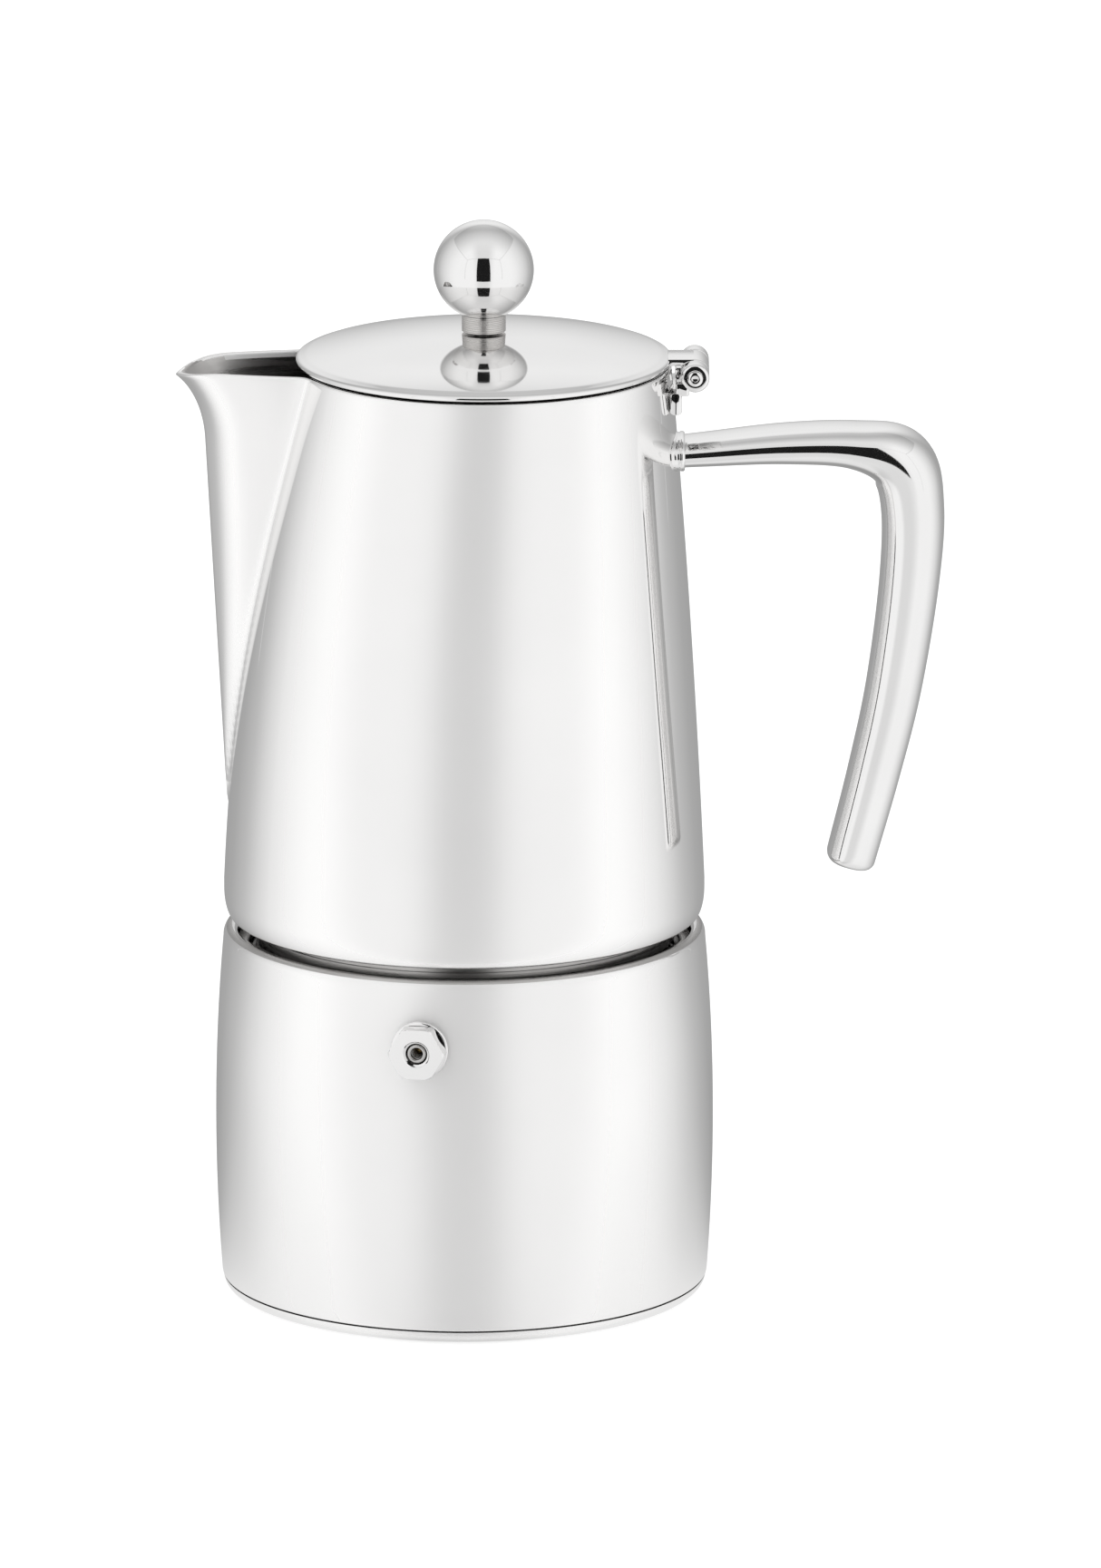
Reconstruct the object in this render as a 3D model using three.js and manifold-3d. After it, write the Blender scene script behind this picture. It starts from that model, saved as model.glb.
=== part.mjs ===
// A stainless steel stovetop moka pot: a belly-shaped boiler, a coffee funnel, a
// sealing gasket with its filter plate, and a jug with a beak spout, a bent handle
// and a hinged lid with a ball knob. Millimetres, +Z up, origin at the centre of
// the base, handle towards +X, spout towards -X, safety valve towards -Y.

import * as THREE from 'three';
import { mergeVertices } from 'three/addons/utils/BufferGeometryUtils.js';
import Module from 'manifold-3d';

const wasm = await Module();
wasm.setup();

// ---------- driving dimensions ----------

const GAP = 0.3;                    // between pieces that touch
const WALL = 1.2;                   // sheet thickness of boiler and jug
const SIDES = 40;                   // facets round a large turned piece
const SMALL_SIDES = 16;             // facets round a small turned piece

const BELLY_RADIUS = 50;
const BELLY_HEIGHT = 35;            // where the boiler is widest
const BELLY_FALL = 29.2;            // height over which the belly loses 1 mm of radius
const BASE_ROUNDING = 2.4;
const CORE_BOTTOM = 1.5;
const CORE_TOP = 4.0;
const BOILER_FLOOR = 5.5;
const FLOOR_RADIUS = 44.5;          // flat of the boiler's floor
const FLOOR_ROUNDING = 3.5;
const BELLY_TOP = 72;               // where the belly turns into the shoulder
const SHOULDER = 74.7;              // flat top of the boiler shell
const SHOULDER_RADIUS = 46;
const SHOULDER_ROUNDING = 2.2;

const NECK_INNER = 39.6;
const NECK_OUTER = 41.4;
const NECK_TOP = 88;
const NECK_FLANGE = 44;             // radius of the flange under the shoulder
const FLANGE_THICKNESS = 1.4;
const THREAD_PITCH = 3.2;
const THREAD_DEPTH = 0.8;
const THREAD_START = 78.5;
const THREAD_TURNS = 2;
const RIDGE_HALF_WIDTH = 1;

const BASKET_OUTER = 38.8;
const BASKET_FLOOR = 68;
const BASKET_CORNER = 2;            // size of the bevel between floor and wall
const FUNNEL_FALL = 9;              // from the basket's floor down to the stem
const FUNNEL_WALL = 0.9;
const STEM_OUTER = 3.4;
const STEM_BOTTOM = 10;
const PLATE_THICKNESS = 0.9;
const FUNNEL_HOLE_RADIUS = 0.8;
const FILTER_HOLE_RADIUS = 0.7;
const HOLE_RINGS = 3;

const GASKET_INNER = 32.5;
const GASKET_OUTER = 41.2;
const GASKET_BOTTOM = 89.5;
const GASKET_TOP = 93;
const FILTER_BOTTOM = 90;

const JUG_BOTTOM = 76.7;
const JUG_RADIUS = 48.2;            // widest, just above the bottom edge
const JUG_ROLL = 1.8;               // how far the bottom edge rolls in
const JUG_ROLL_TOP = 82;
const JUG_CONE_START = 84;
const JUG_RIM = 189.6;
const RIM_OFFSET = 4;               // the rim's centre lies this far towards the handle
const CONE_SLOPE = 4.6;             // radius lost over the cone: a straight share
const CONE_BEND = 6.2;              // and a share that grows with the square
const FLOOR_BOTTOM = 93.3;          // the jug's floor
const FLOOR_TOP = 94.5;
const FLOOR_HOLE = 3.4;
const COLLAR_OUTER = 46;
const COLLAR_RECESS = 2.1;          // collar's bottom above the jug's
const COLLAR_THREAD_DEPTH = 1;
const THREAD_CLEARANCE = 0.4;       // between the two threads

const SPOUT_START = 101;
const SPOUT_REACH = 47.6;           // leading edge at the start, from the pot's axis
const SPOUT_LEAN = 0.055;
const SPOUT_HALF_WIDTH = 13.5;      // where the spout leaves the cone, at the rim
const LIP_FLARE = 5.3;
const LIP_FLARE_START = 174;
const LIP_FLARE_POWER = 2.2;
const LIP_DROOP = 2.2;
const DROOP_START = 176;            // height from which the lip droops
const DROOP_REACH = 47;             // and distance from the pot's axis
const DROOP_LENGTH = 11;
const SPOUT_BLUNTNESS = 0.6;        // how round the leading edge is at its start
const SPOUT_SHARPENING = 0.18;      // and how much that changes up to the rim
const SPOUT_WALL = 1.56;            // wall measured along the leading edge's ray
const SPOUT_ARC = 30;               // degrees on each side of -X that the spout takes
const CREASE = 3;                   // width of the soft crease between spout and cone

const COLUMN_BORE = 2.6;
const COLUMN_FOOT = 13;
const COLUMN_WAIST = 8.5;
const COLUMN_TIP = 6.2;
const COLUMN_TOP = 152;
const CAP_INNER = 6.8;
const CAP_OUTER = 8;
const CAP_BOTTOM = 146;
const CAP_TOP = 160;
const CAP_ROUNDING = 4;
const SLOT_WIDTH = 4.4;
const SLOT_BOTTOM = 152.5;
const SLOT_TOP = 156.5;

const FERRULE_THICKNESS = 4;        // section inside the ferrule
const FERRULE_WIDTH = 14.2;
const FERRULE_WALL = 1.1;
const FERRULE_END = 44.2;
const FERRULE_RISE = 0.55;          // above the first station, as the bar climbs

const LID_BOTTOM = 190.1;
const LID_RADIUS = 37.5;
const LID_APEX = 196;
const LID_EDGE = 1.2;
const LID_SHEET = 1;
const LID_HOLE = 1.9;
const LID_LIP = 1.3;
const LID_SOFT = 0.3;               // bevel of the lid's edges
const KNOB_RADIUS = 10;
const KNOB_HEIGHT = 208.7;          // centre of the ball
const STEM_RADIUS = 4.4;
const SCREW_RADIUS = 1.5;
const SCREW_HEAD_RADIUS = 2.8;
const SCREW_HEAD_DROP = 2.4;        // screw head's top below the lid's apex
const SCREW_HEAD = 1.8;
const SCREW_TOP = 205;
const KNOB_WASHER_RADIUS = 4;
const KNOB_WASHER_THICKNESS = 0.7;
const KNOB_SEAT = 9.4;              // ball's flat seat below its centre

const HINGE_X = 46.1;
const HINGE_Z = 188.5;
const BARREL_RADIUS = 2.85;
const BARREL_LENGTH = 19;
const OUTER_KNUCKLE_START = 5;      // from the middle, along Y
const LID_KNUCKLE_HALF = 4.6;
const PIN_RADIUS = 1.1;
const PIN_HEAD_RADIUS = 1.7;
const PIN_HEAD_END = 0.9;           // past the barrel's end
const BRACKET_OUTSIDE = 43.6;
const BRACKET_BOTTOM = 181;
const ARM_INSIDE = 42.2;
const ARM_BOTTOM = 184.8;

const VALVE_HEIGHT = 61;
const VALVE_TURN = THREE.MathUtils.degToRad(-10);
const HEX_ACROSS_FLATS = 10;
const SHANK_RADIUS = 3.2;
const VALVE_HOLE_RADIUS = 3.7;
const VALVE_WASHER_RADIUS = 5.75;
const INNER_WASHER_RADIUS = 5.5;
const VALVE_RECESS_RADIUS = 2.55;
const VALVE_BORE = 2.2;
const VALVE_INLET = 1.1;
const RETAINER_RADII = [1.2, 1.9];
const PIN_SEAT_RADIUS = 1.8;
const PIN_STEM_RADIUS = 0.9;
const PIN_SEAT = 1.2;               // thickness of the plunger's seat
const SPRING_RADIUS = 1.45;
const SPRING_WIRE_RADIUS = 0.25;
const SPRING_TURNS = 6;
const SPRING_STEPS_PER_TURN = 9;

// Stretches along the valve's axis, from the pot's axis outwards.
const VALVE_INNER_END = 40.5;
const VALVE_BORE_BOTTOM = 43;
const VALVE_RECESS_BOTTOM = 53.6;
const NUT_SPAN = [43, 46.1];
const INNER_WASHER_SPAN = [46.4, 47.4];
const VALVE_WASHER_SPAN = [49.7, 50.7];
const HEX_SPAN = [51, 54.4];
const RETAINER_SPAN = [52.7, 53.5];
const PIN_SPAN = [43.3, 51.4];
const SPRING_SPAN = [45.1, 52.1];
const PAST = 1;                     // how far a drill runs past the face it opens

// ---------- materials ----------

const finish = (color, roughness, metalness) => new THREE.MeshStandardMaterial({ color, roughness, metalness });

const steelPolished = () => finish(0xe2e1df, 0.08, 1);
const steelSatin = () => finish(0xd9d8d6, 0.28, 1);
const steelPlain = () => finish(0xc4c3c1, 0.4, 1);
const aluminium = () => finish(0xb9bbbd, 0.5, 1);
const brass = () => finish(0xc9a45a, 0.35, 1);
const silicone = () => finish(0xe6e3dc, 0.7, 0);
const fibre = () => finish(0x8c3b2a, 0.8, 0);

// ---------- solids ----------

function signedVolume(geometry) {
  const position = geometry.getAttribute('position');
  const index = geometry.getIndex().array;
  const corner = [0, 1, 2].map(() => new THREE.Vector3());
  let volume = 0;
  for (let i = 0; i < index.length; i += 3) {
    corner.forEach((point, k) => point.fromBufferAttribute(position, index[i + k]));
    volume += corner[0].dot(corner[1].clone().cross(corner[2])) / 6;
  }
  return volume;
}

// Merges shared vertices, drops the slivers that this leaves, and turns faces outwards.
function closed(geometry) {
  geometry.deleteAttribute('normal');
  geometry.deleteAttribute('uv');
  const merged = mergeVertices(geometry, 1e-3);
  const old = merged.getIndex().array;
  const kept = [];
  for (let i = 0; i < old.length; i += 3) {
    const [a, b, c] = [old[i], old[i + 1], old[i + 2]];
    if (a !== b && b !== c && c !== a) kept.push(a, b, c);
  }
  merged.setIndex(kept);
  if (signedVolume(merged) < 0) merged.setIndex(kept.reverse());
  return merged;
}

function solid(geometry) {
  const merged = closed(geometry);
  return new wasm.Manifold(new wasm.Mesh({
    numProp: 3,
    vertProperties: new Float32Array(merged.getAttribute('position').array),
    triVerts: new Uint32Array(merged.getIndex().array),
  }));
}

function fromSolid(shape) {
  const mesh = shape.getMesh();
  const geometry = new THREE.BufferGeometry();
  geometry.setAttribute('position', new THREE.BufferAttribute(mesh.vertProperties, 3));
  geometry.setIndex(new THREE.BufferAttribute(mesh.triVerts, 1));
  return geometry;
}

function cut(geometry, ...tools) {
  return fromSolid(tools.reduce((rest, tool) => rest.subtract(solid(tool)), solid(geometry)));
}

function join(geometry, ...others) {
  return fromSolid(others.reduce((whole, other) => whole.add(solid(other)), solid(geometry)));
}

// Turns a profile of [radius, height] points about Z.
function turned(profile, sides = SIDES) {
  const points = profile.map(([radius, height]) => new THREE.Vector2(radius, height));
  return closed(new THREE.LatheGeometry(points, sides).rotateX(Math.PI / 2));
}

// Turns a profile that stays off the axis and closes on itself.
const turnedRing = (profile, sides) => turned([...profile, profile[0]], sides);

const disc = (radius, z0, z1, sides) => turned([[0, z0], [radius, z0], [radius, z1], [0, z1]], sides);

function tube(inner, outer, z0, z1, sides) {
  return turnedRing([[inner, z0], [outer, z0], [outer, z1], [inner, z1]], sides);
}

// Points of a quarter-round or any other arc in a profile, angles in degrees.
function arc(radius, height, size, from, to, steps) {
  return Array.from({ length: steps + 1 }, (_, i) => {
    const angle = THREE.MathUtils.degToRad(from + (to - from) * i / steps);
    return [radius + size * Math.cos(angle), height + size * Math.sin(angle)];
  });
}

function circlePoints(x, y, radius, sides) {
  return Array.from({ length: sides }, (_, i) => {
    const angle = 2 * Math.PI * i / sides;
    return new THREE.Vector2(x + radius * Math.cos(angle), y + radius * Math.sin(angle));
  });
}

// A flat disc with rings of small holes.
function perforated(radius, z0, z1, holeRadius, rings) {
  const shape = new THREE.Shape(circlePoints(0, 0, radius, SIDES));
  for (let ring = 1; ring <= rings; ring += 1) {
    const ringRadius = radius * ring / (rings + 1);
    for (let i = 0; i < 6 * ring; i += 1) {
      const angle = 2 * Math.PI * i / (6 * ring);
      const [x, y] = [ringRadius * Math.cos(angle), ringRadius * Math.sin(angle)];
      shape.holes.push(new THREE.Path(circlePoints(x, y, holeRadius, 6)));
    }
  }
  const geometry = new THREE.ExtrudeGeometry(shape, { depth: z1 - z0, bevelEnabled: false });
  return closed(geometry.translate(0, 0, z0));
}

// Skins a list of rings that have the same number of points. The rings close on
// themselves (looped) or end in flat caps.
function lofted(rings, looped) {
  const count = rings[0].length;
  const vertices = rings.flat().flatMap((point) => [point.x, point.y, point.z]);
  const triangles = [];
  const bands = looped ? rings.length : rings.length - 1;
  for (let band = 0; band < bands; band += 1) {
    const low = band * count;
    const high = ((band + 1) % rings.length) * count;
    for (let i = 0; i < count; i += 1) {
      const next = (i + 1) % count;
      triangles.push(low + i, low + next, high + i, low + next, high + next, high + i);
    }
  }
  if (!looped) {
    const last = (rings.length - 1) * count;
    for (let i = 1; i < count - 1; i += 1) {
      triangles.push(0, i + 1, i, last, last + i, last + i + 1);
    }
  }
  const geometry = new THREE.BufferGeometry();
  geometry.setAttribute('position', new THREE.Float32BufferAttribute(vertices, 3));
  geometry.setIndex(triangles);
  return closed(geometry);
}

function hexPrism(acrossFlats, z0, z1) {
  const outline = new THREE.Shape(circlePoints(0, 0, acrossFlats / Math.sqrt(3), 6));
  const geometry = new THREE.ExtrudeGeometry(outline, { depth: z1 - z0, bevelEnabled: false });
  return geometry.translate(0, 0, z0);
}

function block(x0, x1, y0, y1, z0, z1) {
  const geometry = new THREE.BoxGeometry(x1 - x0, y1 - y0, z1 - z0);
  return geometry.translate((x0 + x1) / 2, (y0 + y1) / 2, (z0 + z1) / 2);
}

// A cylinder along Y about the hinge axis.
function barrel(radius, y0, y1, sides = 24) {
  const geometry = new THREE.CylinderGeometry(radius, radius, y1 - y0, sides);
  return geometry.translate(HINGE_X, (y0 + y1) / 2, HINGE_Z);
}

// ---------- boiler ----------

const bellyRadius = (z) => BELLY_RADIUS - ((z - BELLY_HEIGHT) / BELLY_FALL) ** 2;

function bellyPoints(from, to, steps, inset) {
  return Array.from({ length: steps + 1 }, (_, i) => {
    const z = from + (to - from) * i / steps;
    return [bellyRadius(z) - inset, z];
  });
}

function boilerShell() {
  const skirtInner = bellyRadius(0) - WALL - GAP;
  const skirtBottom = BASE_ROUNDING + GAP;
  const shell = turned([
    [0, CORE_TOP + GAP],
    [skirtInner, CORE_TOP + GAP],
    [skirtInner, skirtBottom],
    ...bellyPoints(skirtBottom, BELLY_TOP, 6, 0),
    ...arc(SHOULDER_RADIUS, SHOULDER - SHOULDER_ROUNDING, SHOULDER_ROUNDING, 40, 90, 3),
    [NECK_OUTER + GAP, SHOULDER],
    [NECK_OUTER + GAP, SHOULDER - WALL],
    [SHOULDER_RADIUS - 0.5, SHOULDER - WALL],
    ...bellyPoints(BELLY_TOP - 1, BOILER_FLOOR + FLOOR_ROUNDING, 4, WALL),
    [FLOOR_RADIUS, BOILER_FLOOR],
    [0, BOILER_FLOOR],
  ]);
  const hole = new THREE.CylinderGeometry(VALVE_HOLE_RADIUS, VALVE_HOLE_RADIUS, 20, SMALL_SIDES);
  hole.translate(0, -BELLY_RADIUS, 0).rotateZ(VALVE_TURN).translate(0, 0, VALVE_HEIGHT);
  return cut(shell, hole);
}

function baseCap() {
  const outer = bellyRadius(0);
  return turned([
    [0, 0],
    ...arc(outer - BASE_ROUNDING, BASE_ROUNDING, BASE_ROUNDING, -90, 0, 4),
    ...arc(outer - BASE_ROUNDING, BASE_ROUNDING, BASE_ROUNDING - WALL, 0, -90, 2),
    [0, WALL],
  ]);
}

function baseCore() {
  return disc(bellyRadius(0) - WALL - 2 * GAP - 0.4, CORE_BOTTOM, CORE_TOP);
}

// One V-shaped ridge for each turn of the thread, on a wall of the given radius.
function threadRidges(radius, depth, start) {
  return Array.from({ length: THREAD_TURNS }, (_, turn) => {
    const z = start + turn * THREAD_PITCH;
    return [[radius, z - RIDGE_HALF_WIDTH], [radius + depth, z], [radius, z + RIDGE_HALF_WIDTH]];
  }).flat();
}

function boilerNeck() {
  const lipTop = SHOULDER - WALL - GAP;
  return turnedRing([
    [NECK_INNER, lipTop - FLANGE_THICKNESS],
    [NECK_FLANGE, lipTop - FLANGE_THICKNESS],
    [NECK_FLANGE, lipTop],
    [NECK_OUTER, lipTop],
    ...threadRidges(NECK_OUTER, THREAD_DEPTH, THREAD_START),
    [NECK_OUTER, NECK_TOP],
    [NECK_INNER, NECK_TOP],
  ]);
}

// ---------- safety valve, turned about its own axis with +Z outwards ----------

const valveWasher = () => tube(SHANK_RADIUS + GAP, VALVE_WASHER_RADIUS, ...VALVE_WASHER_SPAN, 24);

function valveBody() {
  const [hexLow, hexHigh] = HEX_SPAN;
  const shank = disc(SHANK_RADIUS, VALVE_INNER_END, hexLow + PAST, SMALL_SIDES);
  return cut(
    join(hexPrism(HEX_ACROSS_FLATS, hexLow, hexHigh), shank),
    disc(VALVE_RECESS_RADIUS, VALVE_RECESS_BOTTOM, hexHigh + PAST, SMALL_SIDES),
    disc(VALVE_BORE, VALVE_BORE_BOTTOM, VALVE_RECESS_BOTTOM + PAST, SMALL_SIDES),
    disc(VALVE_INLET, VALVE_INNER_END - PAST, VALVE_BORE_BOTTOM + PAST, SMALL_SIDES),
  );
}

const valveInnerWasher = () => tube(SHANK_RADIUS + GAP, INNER_WASHER_RADIUS, ...INNER_WASHER_SPAN, 24);

function valveNut() {
  const [low, high] = NUT_SPAN;
  return cut(
    hexPrism(HEX_ACROSS_FLATS, low, high),
    disc(SHANK_RADIUS + GAP, low - PAST, high + PAST, SMALL_SIDES),
  );
}

const valveRetainer = () => tube(...RETAINER_RADII, ...RETAINER_SPAN, SMALL_SIDES);

function valvePin() {
  const [low, high] = PIN_SPAN;
  return turned([
    [0, low],
    [PIN_SEAT_RADIUS, low],
    [PIN_SEAT_RADIUS, low + PIN_SEAT],
    [PIN_STEM_RADIUS, low + PIN_SEAT],
    [PIN_STEM_RADIUS, high],
    [0, high],
  ], SMALL_SIDES);
}

class Helix extends THREE.Curve {
  constructor(radius, z0, z1, turns) {
    super();
    Object.assign(this, { radius, z0, z1, turns });
  }

  getPoint(t, target = new THREE.Vector3()) {
    const angle = 2 * Math.PI * this.turns * t;
    const z = this.z0 + (this.z1 - this.z0) * t;
    return target.set(this.radius * Math.cos(angle), this.radius * Math.sin(angle), z);
  }
}

function valveSpring() {
  const wire = new THREE.Shape(circlePoints(0, 0, SPRING_WIRE_RADIUS, 6));
  const path = new Helix(SPRING_RADIUS, ...SPRING_SPAN, SPRING_TURNS);
  const steps = SPRING_TURNS * SPRING_STEPS_PER_TURN;
  return closed(new THREE.ExtrudeGeometry(wire, { extrudePath: path, steps, bevelEnabled: false }));
}

// ---------- funnel and seal ----------

function funnel() {
  const inner = BASKET_OUTER - FUNNEL_WALL;
  const stemInner = STEM_OUTER - FUNNEL_WALL;
  const rimBottom = NECK_TOP + GAP;
  const rimTop = rimBottom + FUNNEL_WALL;
  return turnedRing([
    [stemInner, STEM_BOTTOM],
    [STEM_OUTER, STEM_BOTTOM],
    [STEM_OUTER, BASKET_FLOOR - FUNNEL_FALL],
    [BASKET_OUTER - BASKET_CORNER, BASKET_FLOOR - BASKET_CORNER],
    [BASKET_OUTER, BASKET_FLOOR],
    [BASKET_OUTER, rimBottom],
    [NECK_OUTER, rimBottom],
    [NECK_OUTER, rimTop],
    [inner, rimTop],
    [inner, BASKET_FLOOR],
    [inner - BASKET_CORNER, BASKET_FLOOR - BASKET_CORNER + FUNNEL_WALL],
    [stemInner, BASKET_FLOOR - FUNNEL_FALL + FUNNEL_WALL],
  ]);
}

function funnelPlate() {
  const radius = BASKET_OUTER - FUNNEL_WALL - GAP;
  const low = BASKET_FLOOR + GAP;
  return perforated(radius, low, low + PLATE_THICKNESS, FUNNEL_HOLE_RADIUS, HOLE_RINGS);
}

function filterPlate() {
  const radius = GASKET_INNER - GAP;
  return perforated(radius, FILTER_BOTTOM, FILTER_BOTTOM + PLATE_THICKNESS, FILTER_HOLE_RADIUS, HOLE_RINGS);
}

const gasket = () => tube(GASKET_INNER, GASKET_OUTER, GASKET_BOTTOM, GASKET_TOP);

// ---------- jug ----------

const clamp01 = (value) => Math.min(1, Math.max(0, value));

function coneCentre(z) {
  return RIM_OFFSET * clamp01((z - JUG_CONE_START) / (JUG_RIM - JUG_CONE_START)) ** 2;
}

function coneRadius(z) {
  const rise = clamp01((z - JUG_CONE_START) / (JUG_RIM - JUG_CONE_START));
  const roll = clamp01((JUG_ROLL_TOP - z) / (JUG_ROLL_TOP - JUG_BOTTOM));
  return JUG_RADIUS - CONE_SLOPE * rise - CONE_BEND * rise ** 2 - JUG_ROLL * (1 - Math.sqrt(1 - roll ** 2));
}

// Distance of the spout's leading edge from the pot's axis.
function spoutReach(z) {
  const flare = clamp01((z - LIP_FLARE_START) / (JUG_RIM - LIP_FLARE_START));
  return SPOUT_REACH + SPOUT_LEAN * (z - SPOUT_START) + LIP_FLARE * flare ** LIP_FLARE_POWER;
}

// Where a ray from the cone's centre, `turn` away from -X, leaves the spout.
function spoutWall(turn, apex, halfWidth, radius, bluntness) {
  const root = Math.sqrt(radius ** 2 - halfWidth ** 2);
  if (apex <= root) return 0;
  let [near, far] = [0, apex / Math.cos(turn)];
  for (let i = 0; i < 40; i += 1) {
    const reach = (near + far) / 2;
    const along = Math.max(0, apex - reach * Math.cos(turn)) / (apex - root);
    if (reach * Math.abs(Math.sin(turn)) < halfWidth * along ** bluntness) near = reach;
    else far = reach;
  }
  return near;
}

// Angles round the jug from -X, close together across the spout.
function jugTurns() {
  const fineSteps = 20;
  const coarseSteps = 34;
  const rest = 360 - 2 * SPOUT_ARC;
  const fine = Array.from({ length: fineSteps + 1 }, (_, i) => (2 * i / fineSteps - 1) * SPOUT_ARC);
  const coarse = Array.from({ length: coarseSteps - 1 }, (_, i) => SPOUT_ARC + rest * (i + 1) / coarseSteps);
  return [...fine, ...coarse].map(THREE.MathUtils.degToRad);
}

function jugRing(z, inset) {
  const centre = coneCentre(z);
  const radius = coneRadius(z) - inset;
  const rise = clamp01((z - SPOUT_START) / (JUG_RIM - SPOUT_START));
  const halfWidth = Math.max(0.1, SPOUT_HALF_WIDTH * Math.sin(rise * Math.PI / 2) - inset);
  const apex = spoutReach(z) + centre - SPOUT_WALL / WALL * inset;
  const bluntness = SPOUT_BLUNTNESS - SPOUT_SHARPENING * rise;
  return jugTurns().map((turn) => {
    let reach = radius;
    if (rise > 0 && Math.cos(turn) > 0.5) {
      const wall = spoutWall(turn, apex, halfWidth, radius, bluntness);
      const near = Math.max(0, CREASE * rise - Math.abs(wall - radius)) / (CREASE * rise);
      reach = Math.max(wall, radius) + CREASE * rise * near ** 2 / 4;
    }
    const x = centre - reach * Math.cos(turn);
    const nearLip = clamp01((-x - DROOP_REACH) / DROOP_LENGTH) ** 2;
    const droop = LIP_DROOP * nearLip * clamp01((z - DROOP_START) / (JUG_RIM - DROOP_START));
    return new THREE.Vector3(x, reach * Math.sin(turn), z - droop);
  });
}

function jugShell() {
  const skirt = [JUG_BOTTOM, 77.6, 79.5, JUG_CONE_START, 96];
  const cone = [SPOUT_START, 112, 126, 140, 155, 168, 177, 183, 187, JUG_RIM];
  const outer = [...skirt, ...cone].map((z) => jugRing(z, 0));
  const inner = [...skirt.slice(2), ...cone].reverse().map((z) => jugRing(z, WALL));
  const foot = jugRing(JUG_BOTTOM, WALL);
  return lofted([...outer, ...inner, foot], true);
}

// The ring that screws on the boiler's neck, with ridges between the neck's.
function jugCollar() {
  const bore = NECK_OUTER + THREAD_DEPTH + THREAD_CLEARANCE + COLLAR_THREAD_DEPTH;
  const low = JUG_BOTTOM + COLLAR_RECESS;
  const high = FLOOR_BOTTOM - GAP;
  const ridges = threadRidges(bore, -COLLAR_THREAD_DEPTH, THREAD_START + THREAD_PITCH / 2 + GAP);
  return turnedRing([
    [bore, low],
    [COLLAR_OUTER, low],
    [COLLAR_OUTER, high],
    [bore, high],
    ...ridges.reverse(),
  ]);
}

const jugFloor = () => tube(FLOOR_HOLE, coneRadius(FLOOR_TOP) - WALL - 0.4, FLOOR_BOTTOM, FLOOR_TOP);

function riserColumn() {
  const base = FLOOR_TOP + GAP;
  return turnedRing([
    [COLUMN_BORE, base],
    [COLUMN_FOOT, base],
    [COLUMN_FOOT, base + 0.8],
    [COLUMN_WAIST, base + 2.6],
    [COLUMN_TIP, COLUMN_TOP],
    [COLUMN_BORE, COLUMN_TOP],
  ], 24);
}

// A hood over the column's mouth with two slots for the coffee.
function columnCap() {
  const roundingStart = CAP_TOP - CAP_ROUNDING;
  const hood = turned([
    [CAP_INNER, CAP_BOTTOM],
    [CAP_OUTER, CAP_BOTTOM],
    ...arc(CAP_OUTER - CAP_ROUNDING, roundingStart, CAP_ROUNDING, 0, 90, 4),
    [0, CAP_TOP],
    [0, CAP_TOP - WALL],
    [CAP_INNER - 1.8, CAP_TOP - WALL - 0.4],
    [CAP_INNER, roundingStart],
    [CAP_INNER, CAP_BOTTOM],
  ], 24);
  const reach = CAP_OUTER + PAST;
  return cut(hood, block(-reach, reach, -SLOT_WIDTH / 2, SLOT_WIDTH / 2, SLOT_BOTTOM, SLOT_TOP));
}

// ---------- handle ----------

// Stations of the bar: centre x and z, thickness in the bend's plane, width along Y.
const HANDLE_STATIONS = [
  [36, 171.0, 3.7, 13.5],
  [48, 172.0, 4.2, 14.8],
  [64, 173.2, 5.4, 16.4],
  [78, 172.9, 7.2, 17.4],
  [87, 169.6, 13, 17.4],
  [89.6, 160.5, 12.7, 17],
  [89, 145, 12, 16.2],
  [86, 123.5, 11.2, 15.2],
  [82, 105.5, 10.5, 14.6],
  [77.6, 88.6, 9.9, 14.2],
];

// Outline of a rounded bar: a superellipse between an oval and a rectangle.
function barSection(thickness, width, sides) {
  return Array.from({ length: sides }, (_, i) => {
    const angle = 2 * Math.PI * (i + 0.5) / sides;
    const [c, s] = [Math.cos(angle), Math.sin(angle)];
    const across = Math.sign(c) * Math.abs(c) ** 0.5 * thickness / 2;
    return [across, Math.sign(s) * Math.abs(s) ** 0.5 * width / 2];
  });
}

function barRing(centre, tangent, thickness, width) {
  const normal = new THREE.Vector3(-tangent.z, 0, tangent.x);
  return barSection(thickness, width, 16).map(([across, along]) => {
    const point = centre.clone().addScaledVector(normal, across);
    point.y += along;
    return point;
  });
}

function handleBar() {
  const path = new THREE.CatmullRomCurve3(HANDLE_STATIONS.map(([x, z]) => new THREE.Vector3(x, 0, z)));
  const sizes = new THREE.CatmullRomCurve3(HANDLE_STATIONS.map(([, , t, w]) => new THREE.Vector3(t, w, 0)));
  const steps = 22;
  const rings = Array.from({ length: steps + 1 }, (_, i) => {
    const size = sizes.getPoint(i / steps);
    return barRing(path.getPoint(i / steps), path.getTangent(i / steps), size.x, size.y);
  });
  const tangent = path.getTangent(1);
  const size = sizes.getPoint(1);
  const tip = path.getPoint(1).addScaledVector(tangent, 1.2);
  rings.push(barRing(tip, tangent, size.x - 2, size.y - 2));
  return lofted(rings, false);
}

// The jug's outside, grown by a margin, to trim what is welded to it.
function jugTrimmer(margin) {
  return lofted([150, 160, 170, 180, JUG_RIM + 1].map((z) => jugRing(z, -margin)), false);
}

const handle = () => cut(handleBar(), jugTrimmer(GAP));

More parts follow.
